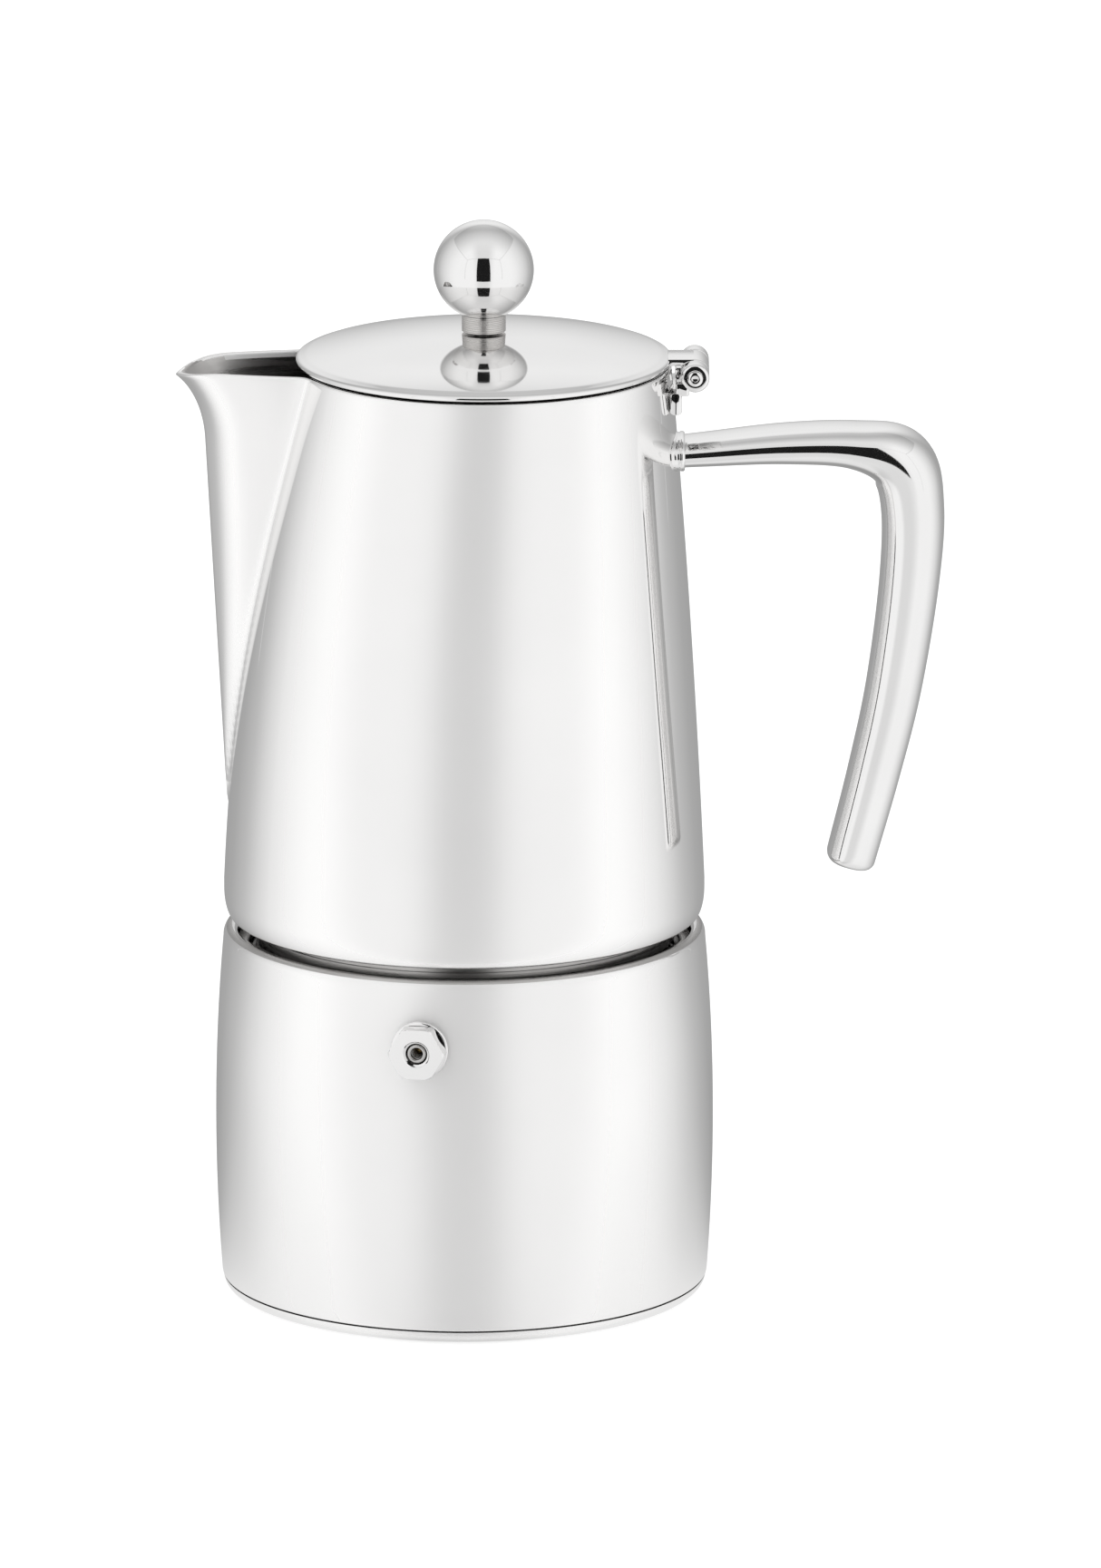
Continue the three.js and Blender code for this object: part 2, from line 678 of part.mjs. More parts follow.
function handleFerrule() {
  const [start, height] = HANDLE_STATIONS[0];
  const ring = (x, wall) => {
    const section = barSection(FERRULE_THICKNESS + 2 * wall, FERRULE_WIDTH + 2 * wall, 20);
    return section.map(([across, along]) => new THREE.Vector3(x, along, height + FERRULE_RISE + across));
  };
  const sleeve = lofted([
    ring(start, FERRULE_WALL),
    ring(FERRULE_END - 0.6, FERRULE_WALL),
    ring(FERRULE_END, FERRULE_WALL - 0.4),
  ], false);
  const opening = lofted([ring(start - PAST, GAP + 0.05), ring(FERRULE_END + PAST, GAP + 0.1)], false);
  return cut(sleeve, opening, jugTrimmer(GAP));
}

// ---------- hinge ----------

// A strap and the knuckles between the given stretches of Y, with the pin's hole.
function hingeLeaf(strap, knuckles) {
  const parts = knuckles.map(([y0, y1]) => barrel(BARREL_RADIUS, y0, y1));
  return cut(join(strap, ...parts), barrel(PIN_RADIUS + GAP, -30, 30, SMALL_SIDES));
}

function hingeBracket() {
  const half = BARREL_LENGTH / 2;
  const spans = [[-half, -OUTER_KNUCKLE_START], [OUTER_KNUCKLE_START, half]];
  const plateTop = HINGE_Z - BARREL_RADIUS - 0.5;
  const plate = block(ARM_INSIDE - WALL * 3, BRACKET_OUTSIDE, -half, half, BRACKET_BOTTOM, plateTop);
  const arms = spans.map(([y0, y1]) => block(ARM_INSIDE, HINGE_X, y0, y1, ARM_BOTTOM, HINGE_Z));
  return cut(hingeLeaf(join(plate, ...arms), spans), jugTrimmer(GAP));
}

function lidKnuckle() {
  const half = LID_KNUCKLE_HALF;
  const strap = block(40, HINGE_X, -half, half, HINGE_Z + 1, HINGE_Z + BARREL_RADIUS);
  const lidClearance = disc(LID_RADIUS + GAP, LID_BOTTOM - 3, LID_APEX, SIDES).translate(RIM_OFFSET, 0, 0);
  return cut(hingeLeaf(strap, [[-half, half]]), lidClearance);
}

function hingePin() {
  const half = BARREL_LENGTH / 2;
  const shaft = barrel(PIN_RADIUS, -half - 0.5, half + 0.5, SMALL_SIDES);
  const heads = [
    barrel(PIN_HEAD_RADIUS, -half - PIN_HEAD_END, -half - GAP, SMALL_SIDES),
    barrel(PIN_HEAD_RADIUS, half + GAP, half + PIN_HEAD_END, SMALL_SIDES),
  ];
  return join(shaft, ...heads);
}

// ---------- lid and knob, turned about the rim's axis ----------

const LID_SAG = LID_APEX - LID_BOTTOM - LID_EDGE;
const DOME_RADIUS = ((LID_RADIUS - 0.4) ** 2 + LID_SAG ** 2) / (2 * LID_SAG);

function domePoints(fromRadius, toRadius, steps, drop) {
  return Array.from({ length: steps + 1 }, (_, i) => {
    const radius = fromRadius + (toRadius - fromRadius) * i / steps;
    return [radius, LID_APEX - drop - DOME_RADIUS + Math.sqrt(DOME_RADIUS ** 2 - radius ** 2)];
  });
}

function lid() {
  return turnedRing([
    ...domePoints(LID_HOLE, LID_RADIUS - 0.4, 5, 0),
    [LID_RADIUS, LID_BOTTOM + LID_EDGE - 0.5],
    [LID_RADIUS, LID_BOTTOM + LID_SOFT],
    [LID_RADIUS - LID_SOFT, LID_BOTTOM],
    [LID_RADIUS - LID_LIP, LID_BOTTOM],
    ...domePoints(LID_RADIUS - LID_LIP - 0.7, LID_HOLE, 3, LID_SHEET),
  ]);
}

function knobBall() {
  const bore = SCREW_RADIUS + GAP;
  const seatAngle = THREE.MathUtils.radToDeg(Math.acos(KNOB_SEAT / KNOB_RADIUS));
  return turned([
    [bore, KNOB_HEIGHT - KNOB_SEAT],
    ...arc(0, KNOB_HEIGHT, KNOB_RADIUS, seatAngle - 90, 90, 10),
    [0, SCREW_TOP + 1],
    [bore, SCREW_TOP + 1],
    [bore, KNOB_HEIGHT - KNOB_SEAT],
  ], 24);
}

function knobStem() {
  const foot = LID_APEX + GAP;
  return tube(SCREW_RADIUS + GAP, STEM_RADIUS, foot, KNOB_HEIGHT - KNOB_SEAT - 0.4, 24);
}

function knobWasher() {
  const low = LID_APEX - SCREW_HEAD_DROP + GAP;
  return tube(SCREW_RADIUS + GAP, KNOB_WASHER_RADIUS, low, low + KNOB_WASHER_THICKNESS, SMALL_SIDES);
}

function knobScrew() {
  const headTop = LID_APEX - SCREW_HEAD_DROP;
  return turned([
    [0, headTop - SCREW_HEAD],
    [SCREW_HEAD_RADIUS - 0.8, headTop - SCREW_HEAD],
    [SCREW_HEAD_RADIUS, headTop - SCREW_HEAD + 0.6],
    [SCREW_HEAD_RADIUS, headTop],
    [SCREW_RADIUS, headTop],
    [SCREW_RADIUS, SCREW_TOP],
    [0, SCREW_TOP],
  ], SMALL_SIDES);
}

// ---------- assembly ----------

function mesh(name, geometry, material) {
  const piece = new THREE.Mesh(geometry, material);
  piece.name = name;
  return piece;
}

function boilerGroup() {
  const group = new THREE.Group();
  group.add(
    mesh('boiler_shell', boilerShell(), steelSatin()),
    mesh('base_cap', baseCap(), steelSatin()),
    mesh('base_core', baseCore(), aluminium()),
    mesh('boiler_neck', boilerNeck(), steelPlain()),
    valveGroup(),
  );
  return group;
}

function valveGroup() {
  const axis = new THREE.Group();
  axis.rotation.x = Math.PI / 2;
  axis.add(
    mesh('valve_washer', valveWasher(), steelPolished()),
    mesh('valve_body', valveBody(), steelPolished()),
    mesh('valve_inner_washer', valveInnerWasher(), fibre()),
    mesh('valve_nut', valveNut(), brass()),
    mesh('valve_retainer', valveRetainer(), steelPlain()),
    mesh('valve_pin', valvePin(), brass()),
    mesh('valve_spring', valveSpring(), steelPlain()),
  );
  const place = new THREE.Group();
  place.rotation.z = VALVE_TURN;
  place.position.z = VALVE_HEIGHT;
  place.add(axis);
  return place;
}

function brewGroup() {
  const group = new THREE.Group();
  group.add(
    mesh('funnel', funnel(), steelPlain()),
    mesh('funnel_plate', funnelPlate(), steelPlain()),
    mesh('filter_plate', filterPlate(), steelPlain()),
    mesh('gasket', gasket(), silicone()),
  );
  return group;
}

function jugGroup() {
  const group = new THREE.Group();
  group.add(
    mesh('jug_shell', jugShell(), steelSatin()),
    mesh('jug_collar', jugCollar(), steelPlain()),
    mesh('jug_floor', jugFloor(), steelPlain()),
    mesh('riser_column', riserColumn(), steelPlain()),
    mesh('column_cap', columnCap(), steelPlain()),
    mesh('handle', handle(), steelPolished()),
    mesh('handle_ferrule', handleFerrule(), steelPolished()),
    mesh('hinge_bracket', hingeBracket(), steelPolished()),
    mesh('hinge_pin', hingePin(), steelPolished()),
  );
  return group;
}

function lidGroup() {
  const centred = new THREE.Group();
  centred.position.x = RIM_OFFSET;
  centred.add(
    mesh('lid', lid(), steelPolished()),
    mesh('knob_stem', knobStem(), steelPlain()),
    mesh('knob_ball', knobBall(), steelPolished()),
    mesh('knob_washer', knobWasher(), steelPlain()),
    mesh('knob_screw', knobScrew(), steelPlain()),
  );
  const group = new THREE.Group();
  group.add(centred, mesh('lid_knuckle', lidKnuckle(), steelPolished()));
  return group;
}

const mokaPot = new THREE.Group();
mokaPot.add(boilerGroup(), brewGroup(), jugGroup(), lidGroup());

export default mokaPot;
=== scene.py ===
"""The looks of a stainless steel moka pot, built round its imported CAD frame."""

import math

import bmesh
import bpy
from mathutils import Matrix, Vector
from mathutils.geometry import tessellate_polygon


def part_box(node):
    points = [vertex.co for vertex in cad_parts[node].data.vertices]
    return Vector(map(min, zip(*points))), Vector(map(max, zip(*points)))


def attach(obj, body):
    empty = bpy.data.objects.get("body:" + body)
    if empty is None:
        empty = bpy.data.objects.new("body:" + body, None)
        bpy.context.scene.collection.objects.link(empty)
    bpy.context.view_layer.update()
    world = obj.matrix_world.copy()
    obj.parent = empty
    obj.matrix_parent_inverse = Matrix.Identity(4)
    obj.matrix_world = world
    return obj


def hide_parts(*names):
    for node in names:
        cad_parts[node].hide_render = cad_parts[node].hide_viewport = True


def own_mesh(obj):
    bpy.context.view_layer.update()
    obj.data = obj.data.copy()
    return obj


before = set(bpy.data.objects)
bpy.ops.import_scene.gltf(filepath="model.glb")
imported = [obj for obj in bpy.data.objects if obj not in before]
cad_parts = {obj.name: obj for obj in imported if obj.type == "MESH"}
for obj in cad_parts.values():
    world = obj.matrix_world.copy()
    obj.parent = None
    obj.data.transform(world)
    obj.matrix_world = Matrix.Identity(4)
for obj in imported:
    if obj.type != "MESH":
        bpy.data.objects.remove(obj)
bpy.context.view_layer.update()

MM = 0.001
SIDES = 192  # facets round a large turned piece
SMALL_SIDES = 64
BAR_SIDES = 72
LOOK = "look_"  # a material is named this and its slot in the record


def corner_mm(node, which):
    """The lowest (0) or highest (1) corner of a CAD node, in millimetres."""
    return [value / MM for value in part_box(node)[which]]


# ---------- sizes, in millimetres, from the frame where it states them ----------

GAP = 0.3
WALL = 1.2
EDGE = 0.3  # rounding of a sheet's cut edge
SHELL_HIGH = corner_mm("boiler_shell", 1)
BELLY_RADIUS = SHELL_HIGH[0]
BELLY_HEIGHT = 35
BELLY_FALL = 29.2  # height over which the belly loses 1 mm of radius
BASE_ROUNDING = corner_mm("base_cap", 1)[2]
CORE_LOW, CORE_HIGH = 1.5, 4
UNDERSIDE = 4.3  # of the boiler's floor
BOILER_FLOOR = 5.5
FLOOR_ROUNDING = 3
INSIDE_LOW, INSIDE_HIGH = 9, 70.5  # stretch of the inside wall that follows the belly
SHOULDER = SHELL_HIGH[2]
SHOULDER_ROUNDING = 2.4
SHOULDER_INNER = 45.4
SHOULDER_INNER_ROUNDING = 1.4
BELLY_TOP = SHOULDER - 2.7

NECK_TOP = corner_mm("boiler_neck", 1)[2]
NECK_INNER = 39.6
NECK_OUTER = 41.4
NECK_FLANGE = 44
FLANGE_THICKNESS = 1.4
THREAD_PITCH = 3.2
THREAD_DEPTH = 0.8
NECK_THREAD_START = 78.5
NECK_THREAD_TURNS = 2.6

VALVE_HEIGHT = 61
VALVE_TURN = math.radians(-10)
HEX_ACROSS_FLATS = 10
SHANK_RADIUS = 3.2
SHANK_HOLE = SHANK_RADIUS + GAP
SHELL_HOLE = 3.6
VALVE_WASHER_RADIUS = 5.75
INNER_WASHER_RADIUS = 5.5
VALVE_RECESS = 2.55
VALVE_BORE = 2.2
VALVE_INLET = 1.1
RETAINER_INNER, RETAINER_OUTER = 1.2, 1.9
PLUNGER_SEAT = 1.8
PLUNGER_STEM = 0.9
SPRING_RADIUS = 1.45
SPRING_WIRE = 0.25
SPRING_TURNS = 6

# Stretches along the valve's axis, from the pot's axis outwards.
VALVE_END = 40.5
BORE_BOTTOM = 43
RECESS_BOTTOM = 53.6
NUT_SPAN = (43, 46.1)
INNER_WASHER_SPAN = (46.4, 47.4)
SHELL_WALL = 50
VALVE_WASHER_SPAN = (49.7, 50.7)
HEX_SPAN = (51, 54.4)
RETAINER_SPAN = (52.7, 53.5)
PLUNGER_SPAN = (43.3, 50.4)
SPRING_SPAN = (45.1, 52.1)

STEM_BOTTOM = 10
STEM_OUTER, STEM_INNER = 3.4, 2.5
BASKET_FLOOR = 68
BASKET_OUTER, BASKET_INNER = 38.8, 37.9
BASKET_CORNER = 2
FUNNEL_FALL = 9  # from the basket's floor down to the stem
RIM_THICKNESS = 0.9
FUNNEL_PLATE_SPAN = (68.3, 69.2)
FUNNEL_PLATE_RADIUS = 37.6
FILTER_SPAN = (90, 91)
FILTER_RADIUS = 32.2
GASKET_SPAN = (89.5, 93)
GASKET_INNER, GASKET_OUTER = 32.5, 41.2

JUG_BOTTOM = corner_mm("jug_shell", 0)[2]
JUG_RIM = corner_mm("jug_shell", 1)[2]
JUG_RADIUS = 48.2
JUG_ROLL = 1.8  # how far the bottom edge rolls in
JUG_ROLL_TOP = 82
CONE_START = 84
RIM_OFFSET = 4  # the rim's centre lies this far towards the handle
CONE_SLOPE = 4.6  # radius lost over the cone: a straight share
CONE_BEND = 6.2  # and a share that grows with the square
SPOUT_START = 101
SPOUT_REACH = 47.6  # the spout's edge at its start, from the pot's axis
SPOUT_LEAN = 0.055
SPOUT_HALF_WIDTH = 13.5
SPOUT_ARC = 36  # degrees on each side of -X that take fine points
SPOUT_WALL = 1.3  # the wall along the spout's edge, in walls
SPOUT_BLUNTNESS = 0.36
SPOUT_SHARPENING = 0.1
NOSE_RADIUS = 1.2
FRONT_SLOPE = 2.3
LIP_FLARE = 5.3
LIP_FLARE_START = 174
LIP_FLARE_POWER = 2.2
LIP_DROOP = 2.2
DROOP_START = 176  # height from which the lip droops
DROOP_REACH = 47  # and distance from the pot's axis
DROOP_LENGTH = 11
CREASE = 3  # width of the soft crease between spout and cone

JUG_FLOOR_SPAN = (93.3, 94.5)
COLUMN_BOTTOM = 94.8
COLUMN_TOP = 152
COLUMN_BORE = 2.6
COLUMN_FOOT = 13
COLUMN_WAIST = 8.7
COLUMN_TIP = 6.2
HOOD_BOTTOM = 146
HOOD_TOP = 160
HOOD_OUTER = 8
HOOD_INNER = 6.8
HOOD_ROUNDING = 4.5
SLOT_HEIGHT = 154.5
SLOT_SIZE = (24, 4.4, 4)
COLLAR_OUTER = 46
COLLAR_TOP = 93
COLLAR_RECESS = 2.1  # collar's bottom above the jug's
COLLAR_CLEARANCE = 1.4  # between the neck's crests and the collar's bore
COLLAR_THREAD_DEPTH = 1
COLLAR_THREAD_START = 80.4
COLLAR_THREAD_TURNS = 3

LID_BOTTOM = corner_mm("lid", 0)[2]
LID_APEX = corner_mm("lid", 1)[2]
LID_RADIUS = 37.5
LID_EDGE = 1.2
LID_BEAD = 0.4  # radius of the lid's rolled rim
LID_HOLE = 1.9
LID_SHEET = 1
KNOB_RADIUS = 10
KNOB_HEIGHT = corner_mm("knob_ball", 1)[2] - KNOB_RADIUS
STEM_RADIUS = 4.4
STEM_RIBS = 8
GROOVE_WIDTH = 0.24
KNOB_SEAT = 0.9  # how far the stem goes up into the ball
SCREW_RADIUS = 1.5
SCREW_HEAD_RADIUS = 2.8
SCREW_HEAD = 1.8
SCREW_LENGTH = 11
SCREW_DROP = 2.4  # head's top below the lid's apex
KNOB_WASHER_RADIUS = 4
KNOB_WASHER_DROPS = (2.1, 1.4)  # its faces below the lid's apex

PIN_LOW, PIN_HIGH = corner_mm("hinge_pin", 0), corner_mm("hinge_pin", 1)
HINGE_X = (PIN_LOW[0] + PIN_HIGH[0]) / 2
HINGE_Z = (PIN_LOW[2] + PIN_HIGH[2]) / 2
BARREL_RADIUS = 2.85
BARREL_BORE = 1.4
BARREL_HALF = corner_mm("hinge_bracket", 1)[1]
KNUCKLE_SPLIT = 4.8
KNUCKLE_GAP = 0.2  # on each side of the split
KNUCKLE_ENDS = (1.1, 0.3)  # rounding of an outer knuckle's outer and inner end
PIN_STANDS_OUT = 0.8
STRAP_HALF = 4.6
STRAP_INSIDE = 40.6
PLATE_INSIDE, PLATE_OUTSIDE = 41, 43.5
PLATE_DROP = 3  # plate's top below the hinge's axis
ARM_INSIDE = 42.2


# ---------- materials ----------

NOISE_SPREAD = (0.3, 0.7)  # a noise mostly stays in it
RANGE_ENDS = ("From Min", "From Max", "To Min", "To Max")


def ranged(tree, source, start, stop, low, high, eased=True):
    """Maps a value that runs from start to stop to one that runs from low to high."""
    node = tree.nodes.new("ShaderNodeMapRange")
    if eased:
        node.interpolation_type = "SMOOTHSTEP"
    for name, value in zip(RANGE_ENDS, (start, stop, low, high)):
        node.inputs[name].default_value = value
    tree.links.new(source, node.inputs["Value"])
    return node.outputs["Result"]


def shader(name, color, metallic, **constants):
    """A Principled material; constants go straight on the shader's own sockets."""
    material = bpy.data.materials.new(LOOK + name)
    material.use_nodes = True
    principled = material.node_tree.nodes["Principled BSDF"]
    principled.inputs["Base Color"].default_value = (*color, 1)
    principled.inputs["Metallic"].default_value = metallic
    for socket, value in constants.items():
        principled.inputs[socket.replace("_", " ")].default_value = value
    return material


def noise(material, scale, stretch=(1, 1, 1), detail=4.0):
    """Object-space noise, squeezed along the axes that stretch makes large."""
    nodes, links = material.node_tree.nodes, material.node_tree.links
    place = nodes.new("ShaderNodeTexCoord")
    mapping = nodes.new("ShaderNodeMapping")
    mapping.inputs["Scale"].default_value = stretch
    texture = nodes.new("ShaderNodeTexNoise")
    texture.inputs["Scale"].default_value = scale
    texture.inputs["Detail"].default_value = detail
    links.new(place.outputs["Object"], mapping.inputs["Vector"])
    links.new(mapping.outputs["Vector"], texture.inputs["Vector"])
    return texture.outputs["Fac"]


def vary(material, source, socket, low, high):
    """Drives a shader socket between two values from a noise."""
    tree = material.node_tree
    value = ranged(tree, source, *NOISE_SPREAD, low, high, eased=False)
    tree.links.new(value, tree.nodes["Principled BSDF"].inputs[socket])


def tint(material, source, dark, light):
    """Mixes the base colour between two shades from a noise."""
    nodes, links = material.node_tree.nodes, material.node_tree.links
    ramp = nodes.new("ShaderNodeValToRGB")
    for stop, position, color in zip(ramp.color_ramp.elements, NOISE_SPREAD, (dark, light)):
        stop.position = position
        stop.color = (*color, 1)
    links.new(source, ramp.inputs["Fac"])
    links.new(ramp.outputs["Color"], nodes["Principled BSDF"].inputs["Base Color"])


def emboss(material, source, strength, distance):
    """Bumps the surface with a noise; distance is in metres."""
    nodes, links = material.node_tree.nodes, material.node_tree.links
    bump = nodes.new("ShaderNodeBump")
    bump.inputs["Strength"].default_value = strength
    bump.inputs["Distance"].default_value = distance
    links.new(source, bump.inputs["Height"])
    links.new(bump.outputs["Normal"], nodes["Principled BSDF"].inputs["Normal"])


def brush_round(material):
    """Turns the shader's brushing to run round the pot's upright axis."""
    nodes, links = material.node_tree.nodes, material.node_tree.links
    tangent = nodes.new("ShaderNodeTangent")
    tangent.direction_type = "RADIAL"
    tangent.axis = "Z"
    links.new(tangent.outputs["Tangent"], nodes["Principled BSDF"].inputs["Tangent"])


def by_turn(material, start, stop, face_on, edge_on):
    """A value that changes as the surface turns away, between two turns of it."""
    turned_away = material.node_tree.nodes.new("ShaderNodeLayerWeight")
    turned_away.inputs["Blend"].default_value = 0.5
    return ranged(material.node_tree, turned_away.outputs["Facing"], start, stop, face_on, edge_on)


def gloss_edge_on(material, grain, face_on, edge_on):
    """Fine satin that turns to a mirror seen edge on, with a little of a noise added."""
    nodes, links = material.node_tree.nodes, material.node_tree.links
    principled = nodes["Principled BSDF"]
    add = nodes.new("ShaderNodeMath")
    add.operation = "MULTIPLY_ADD"
    add.inputs[1].default_value = 0.02
    links.new(grain, add.inputs[0])
    links.new(by_turn(material, 0.1, 0.32, face_on, edge_on), add.inputs[2])
    links.new(add.outputs["Value"], principled.inputs["Roughness"])
    links.new(by_turn(material, 0.25, 0.6, 0.66, 1), principled.inputs["Metallic"])


def steel_satin():
    """Polished round on a lathe: soft face on, and a mirror seen edge on."""
    material = shader("steel_satin", (0.9, 0.895, 0.89), 1.0, Anisotropic=0.9, Anisotropic_Rotation=0.25)
    brush_round(material)
    gloss_edge_on(material, noise(material, 60, (1, 1, 3)), 0.5, 0.03)
    tint(material, noise(material, 25), (0.925, 0.92, 0.916), (0.95, 0.945, 0.94))
    emboss(material, noise(material, 900, (0.35, 0.35, 4), 2), 0.03, 0.00002)
    return material


def surface(name, color, metallic, rough, relief, tones=None, **constants):
    """A material that varies in roughness, height and colour. Each of the three holds
    what noise() takes, and then its own two values."""
    material = shader(name, color, metallic, **constants)
    vary(material, noise(material, *rough[0]), "Roughness", *rough[1:])
    if tones:
        tint(material, noise(material, *tones[0]), *tones[1:])
    emboss(material, noise(material, *relief[0]), *relief[1:])
    return material


def floor_paper():
    """Pale paper that is lit from below too, so the pot's shadow on it is faint."""
    material = shader("floor_paper", (0.5, 0.5, 0.5), 0.0, Specular_IOR_Level=0.0)
    principled = material.node_tree.nodes["Principled BSDF"]
    principled.inputs["Emission Color"].default_value = (1, 1, 1, 1)
    principled.inputs["Emission Strength"].default_value = 0.62
    vary(material, noise(material, 12), "Roughness", 0.6, 0.75)
    tint(material, noise(material, 6), (0.495, 0.495, 0.495), (0.505, 0.505, 0.505))
    return material


SATIN = steel_satin()
POLISHED = surface("steel_polished", (0.88, 0.876, 0.872), 1.0,
                   rough=((90,), 0.035, 0.075),
                   tones=((40,), (0.865, 0.86, 0.857), (0.895, 0.892, 0.888)),
                   relief=((120, (1, 1, 1), 1), 0.04, 0.00002))
# Left with the tool marks of the lathe.
TURNED = surface("steel_turned", (0.66, 0.645, 0.63), 1.0,
                 rough=((500, (0.2, 0.2, 6)), 0.2, 0.42),
                 relief=((900, (0.05, 0.05, 5), 2), 0.35, 0.00006))
# Drawn sheet, with marks round it from the drawing.
PLAIN = surface("steel_plain", (0.55, 0.54, 0.53), 1.0,
                rough=((220, (0.25, 0.25, 5)), 0.22, 0.4),
                tones=((60, (1, 1, 4)), (0.5, 0.49, 0.48), (0.6, 0.59, 0.58)),
                relief=((700, (0.1, 0.1, 5), 3), 0.2, 0.00005))
ALUMINIUM = surface("aluminium_core", (0.72, 0.73, 0.74), 1.0,
                    rough=((300,), 0.4, 0.6),
                    relief=((1200,), 0.2, 0.00005))
BRASS = surface("valve_brass", (0.76, 0.58, 0.27), 1.0,
                rough=((400,), 0.2, 0.42),
                tones=((150,), (0.68, 0.49, 0.2), (0.8, 0.63, 0.33)),
                relief=((1500, (1, 1, 1), 2), 0.15, 0.00004))
SILICONE = surface("seal_silicone", (0.83, 0.81, 0.76), 0.0, Subsurface_Weight=0.08,
                   rough=((150,), 0.5, 0.7),
                   tones=((50,), (0.78, 0.755, 0.7), (0.86, 0.84, 0.79)),
                   relief=((900,), 0.15, 0.00005))
FIBRE = surface("valve_fibre", (0.36, 0.12, 0.08), 0.0,
                rough=((600,), 0.7, 0.9),
                tones=((900,), (0.28, 0.09, 0.06), (0.42, 0.16, 0.11)),
                relief=((1500,), 0.4, 0.0001))


# ---------- meshes ----------

def piece(name, vertices, faces, material, body, nodes, sharp=40, inner=None):
    """Makes an object from millimetres, smooth but for edges sharper than the angle.
    It rides on the body and stands for the CAD nodes. inner is (material, test), the
    finish of the faces whose centre passes the test."""
    mesh = bpy.data.meshes.new(name)
    mesh.from_pydata([Vector(v) * MM for v in vertices], [], faces)
    mesh.validate()
    obj = bpy.data.objects.new(name, mesh)
    bpy.context.scene.collection.objects.link(obj)
    finish_mesh(obj, material, sharp, inner)
    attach(obj, body)
    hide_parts(*nodes)
    return obj


def finish_mesh(obj, material, sharp, inner):
    work = bmesh.new()
    work.from_mesh(obj.data)
    bmesh.ops.remove_doubles(work, verts=work.verts, dist=1e-7)
    bmesh.ops.recalc_face_normals(work, faces=work.faces)
    for face in work.faces:
        face.smooth = True
        if inner and inner[1](face.calc_center_median() / MM, face.normal):
            face.material_index = 1
    for edge in work.edges:
        if len(edge.link_faces) == 2:
            edge.smooth = edge.calc_face_angle() < math.radians(sharp)
    work.to_mesh(obj.data)
    work.free()
    obj.data.materials.append(material)
    if inner:
        obj.data.materials.append(inner[0])


def skin(rings, looped=False, capped=True):
    """Joins rings that have the same number of points."""
    count = len(rings[0])
    vertices = [point for ring in rings for point in ring]
    faces = []
    for band in range(len(rings) if looped else len(rings) - 1):
        low = band * count
        high = (band + 1) % len(rings) * count
        for i in range(count):
            following = (i + 1) % count
            faces.append((low + i, low + following, high + following, high + i))
    if capped and not looped:
        last = (len(rings) - 1) * count
        faces.append(tuple(reversed(range(count))))
        faces.append(tuple(range(last, last + count)))
    return vertices, faces


def circle_ring(radius, height, sides=SIDES, centre=(0, 0)):
    angles = [2 * math.pi * i / sides for i in range(sides)]
    return [(centre[0] + radius * math.cos(a), centre[1] + radius * math.sin(a), height) for a in angles]


def turned(profile, sides=SIDES, centre=(0, 0)):
    """Turns a profile of (radius, height) about a vertical axis. It closes on itself,
    or starts and ends on the axis."""
    on_axis = profile[0][0] == 0
    points = profile[1:-1] if on_axis else profile
    rings = [circle_ring(radius, height, sides, centre) for radius, height in points]
    vertices, faces = skin(rings, looped=not on_axis, capped=False)
    if on_axis:
        for height, start in ((profile[0][1], 0), (profile[-1][1], (len(points) - 1) * sides)):
            vertices.append((centre[0], centre[1], height))
            tip = len(vertices) - 1
            faces += [(start + i, start + (i + 1) % sides, tip) for i in range(sides)]
    return vertices, faces


def spaced(start, stop, steps):
    return [start + (stop - start) * i / steps for i in range(steps + 1)]


def arc(radius, height, size, start, stop, steps=8):
    """Points on an arc in a profile, angles in degrees."""
    angles = [math.radians(a) for a in spaced(start, stop, steps)]
    return [(radius + size * math.cos(a), height + size * math.sin(a)) for a in angles]


def softened(corners, steps=4):
    """Rounds the corners of an outline; each corner is (x, y, radius)."""
    points = []
    count = len(corners)
    for i, (x, y, radius) in enumerate(corners):
        if radius == 0:
            points.append((x, y))
            continue
        here = Vector((x, y))
        before = Vector(corners[i - 1][:2]) - here
        after = Vector(corners[(i + 1) % count][:2]) - here
        turn = before.angle(after)
        reach = min(radius / math.tan(turn / 2), before.length * 0.49, after.length * 0.49)
        start = here + before.normalized() * reach
        stop = here + after.normalized() * reach
        for k in range(steps + 1):
            t = k / steps
            points.append(tuple(start * (1 - t) ** 2 + here * 2 * t * (1 - t) + stop * t ** 2))
    return points


def tube_profile(inner, outer, low, high, soft=0.15):
    return softened([(inner, low, soft), (outer, low, soft), (outer, high, soft), (inner, high, soft)])


# ---------- boiler ----------

def belly(z):
    return BELLY_RADIUS - ((z - BELLY_HEIGHT) / BELLY_FALL) ** 2


def belly_points(start, stop, steps, inset):
    return [(belly(z) - inset, z) for z in spaced(start, stop, steps)]


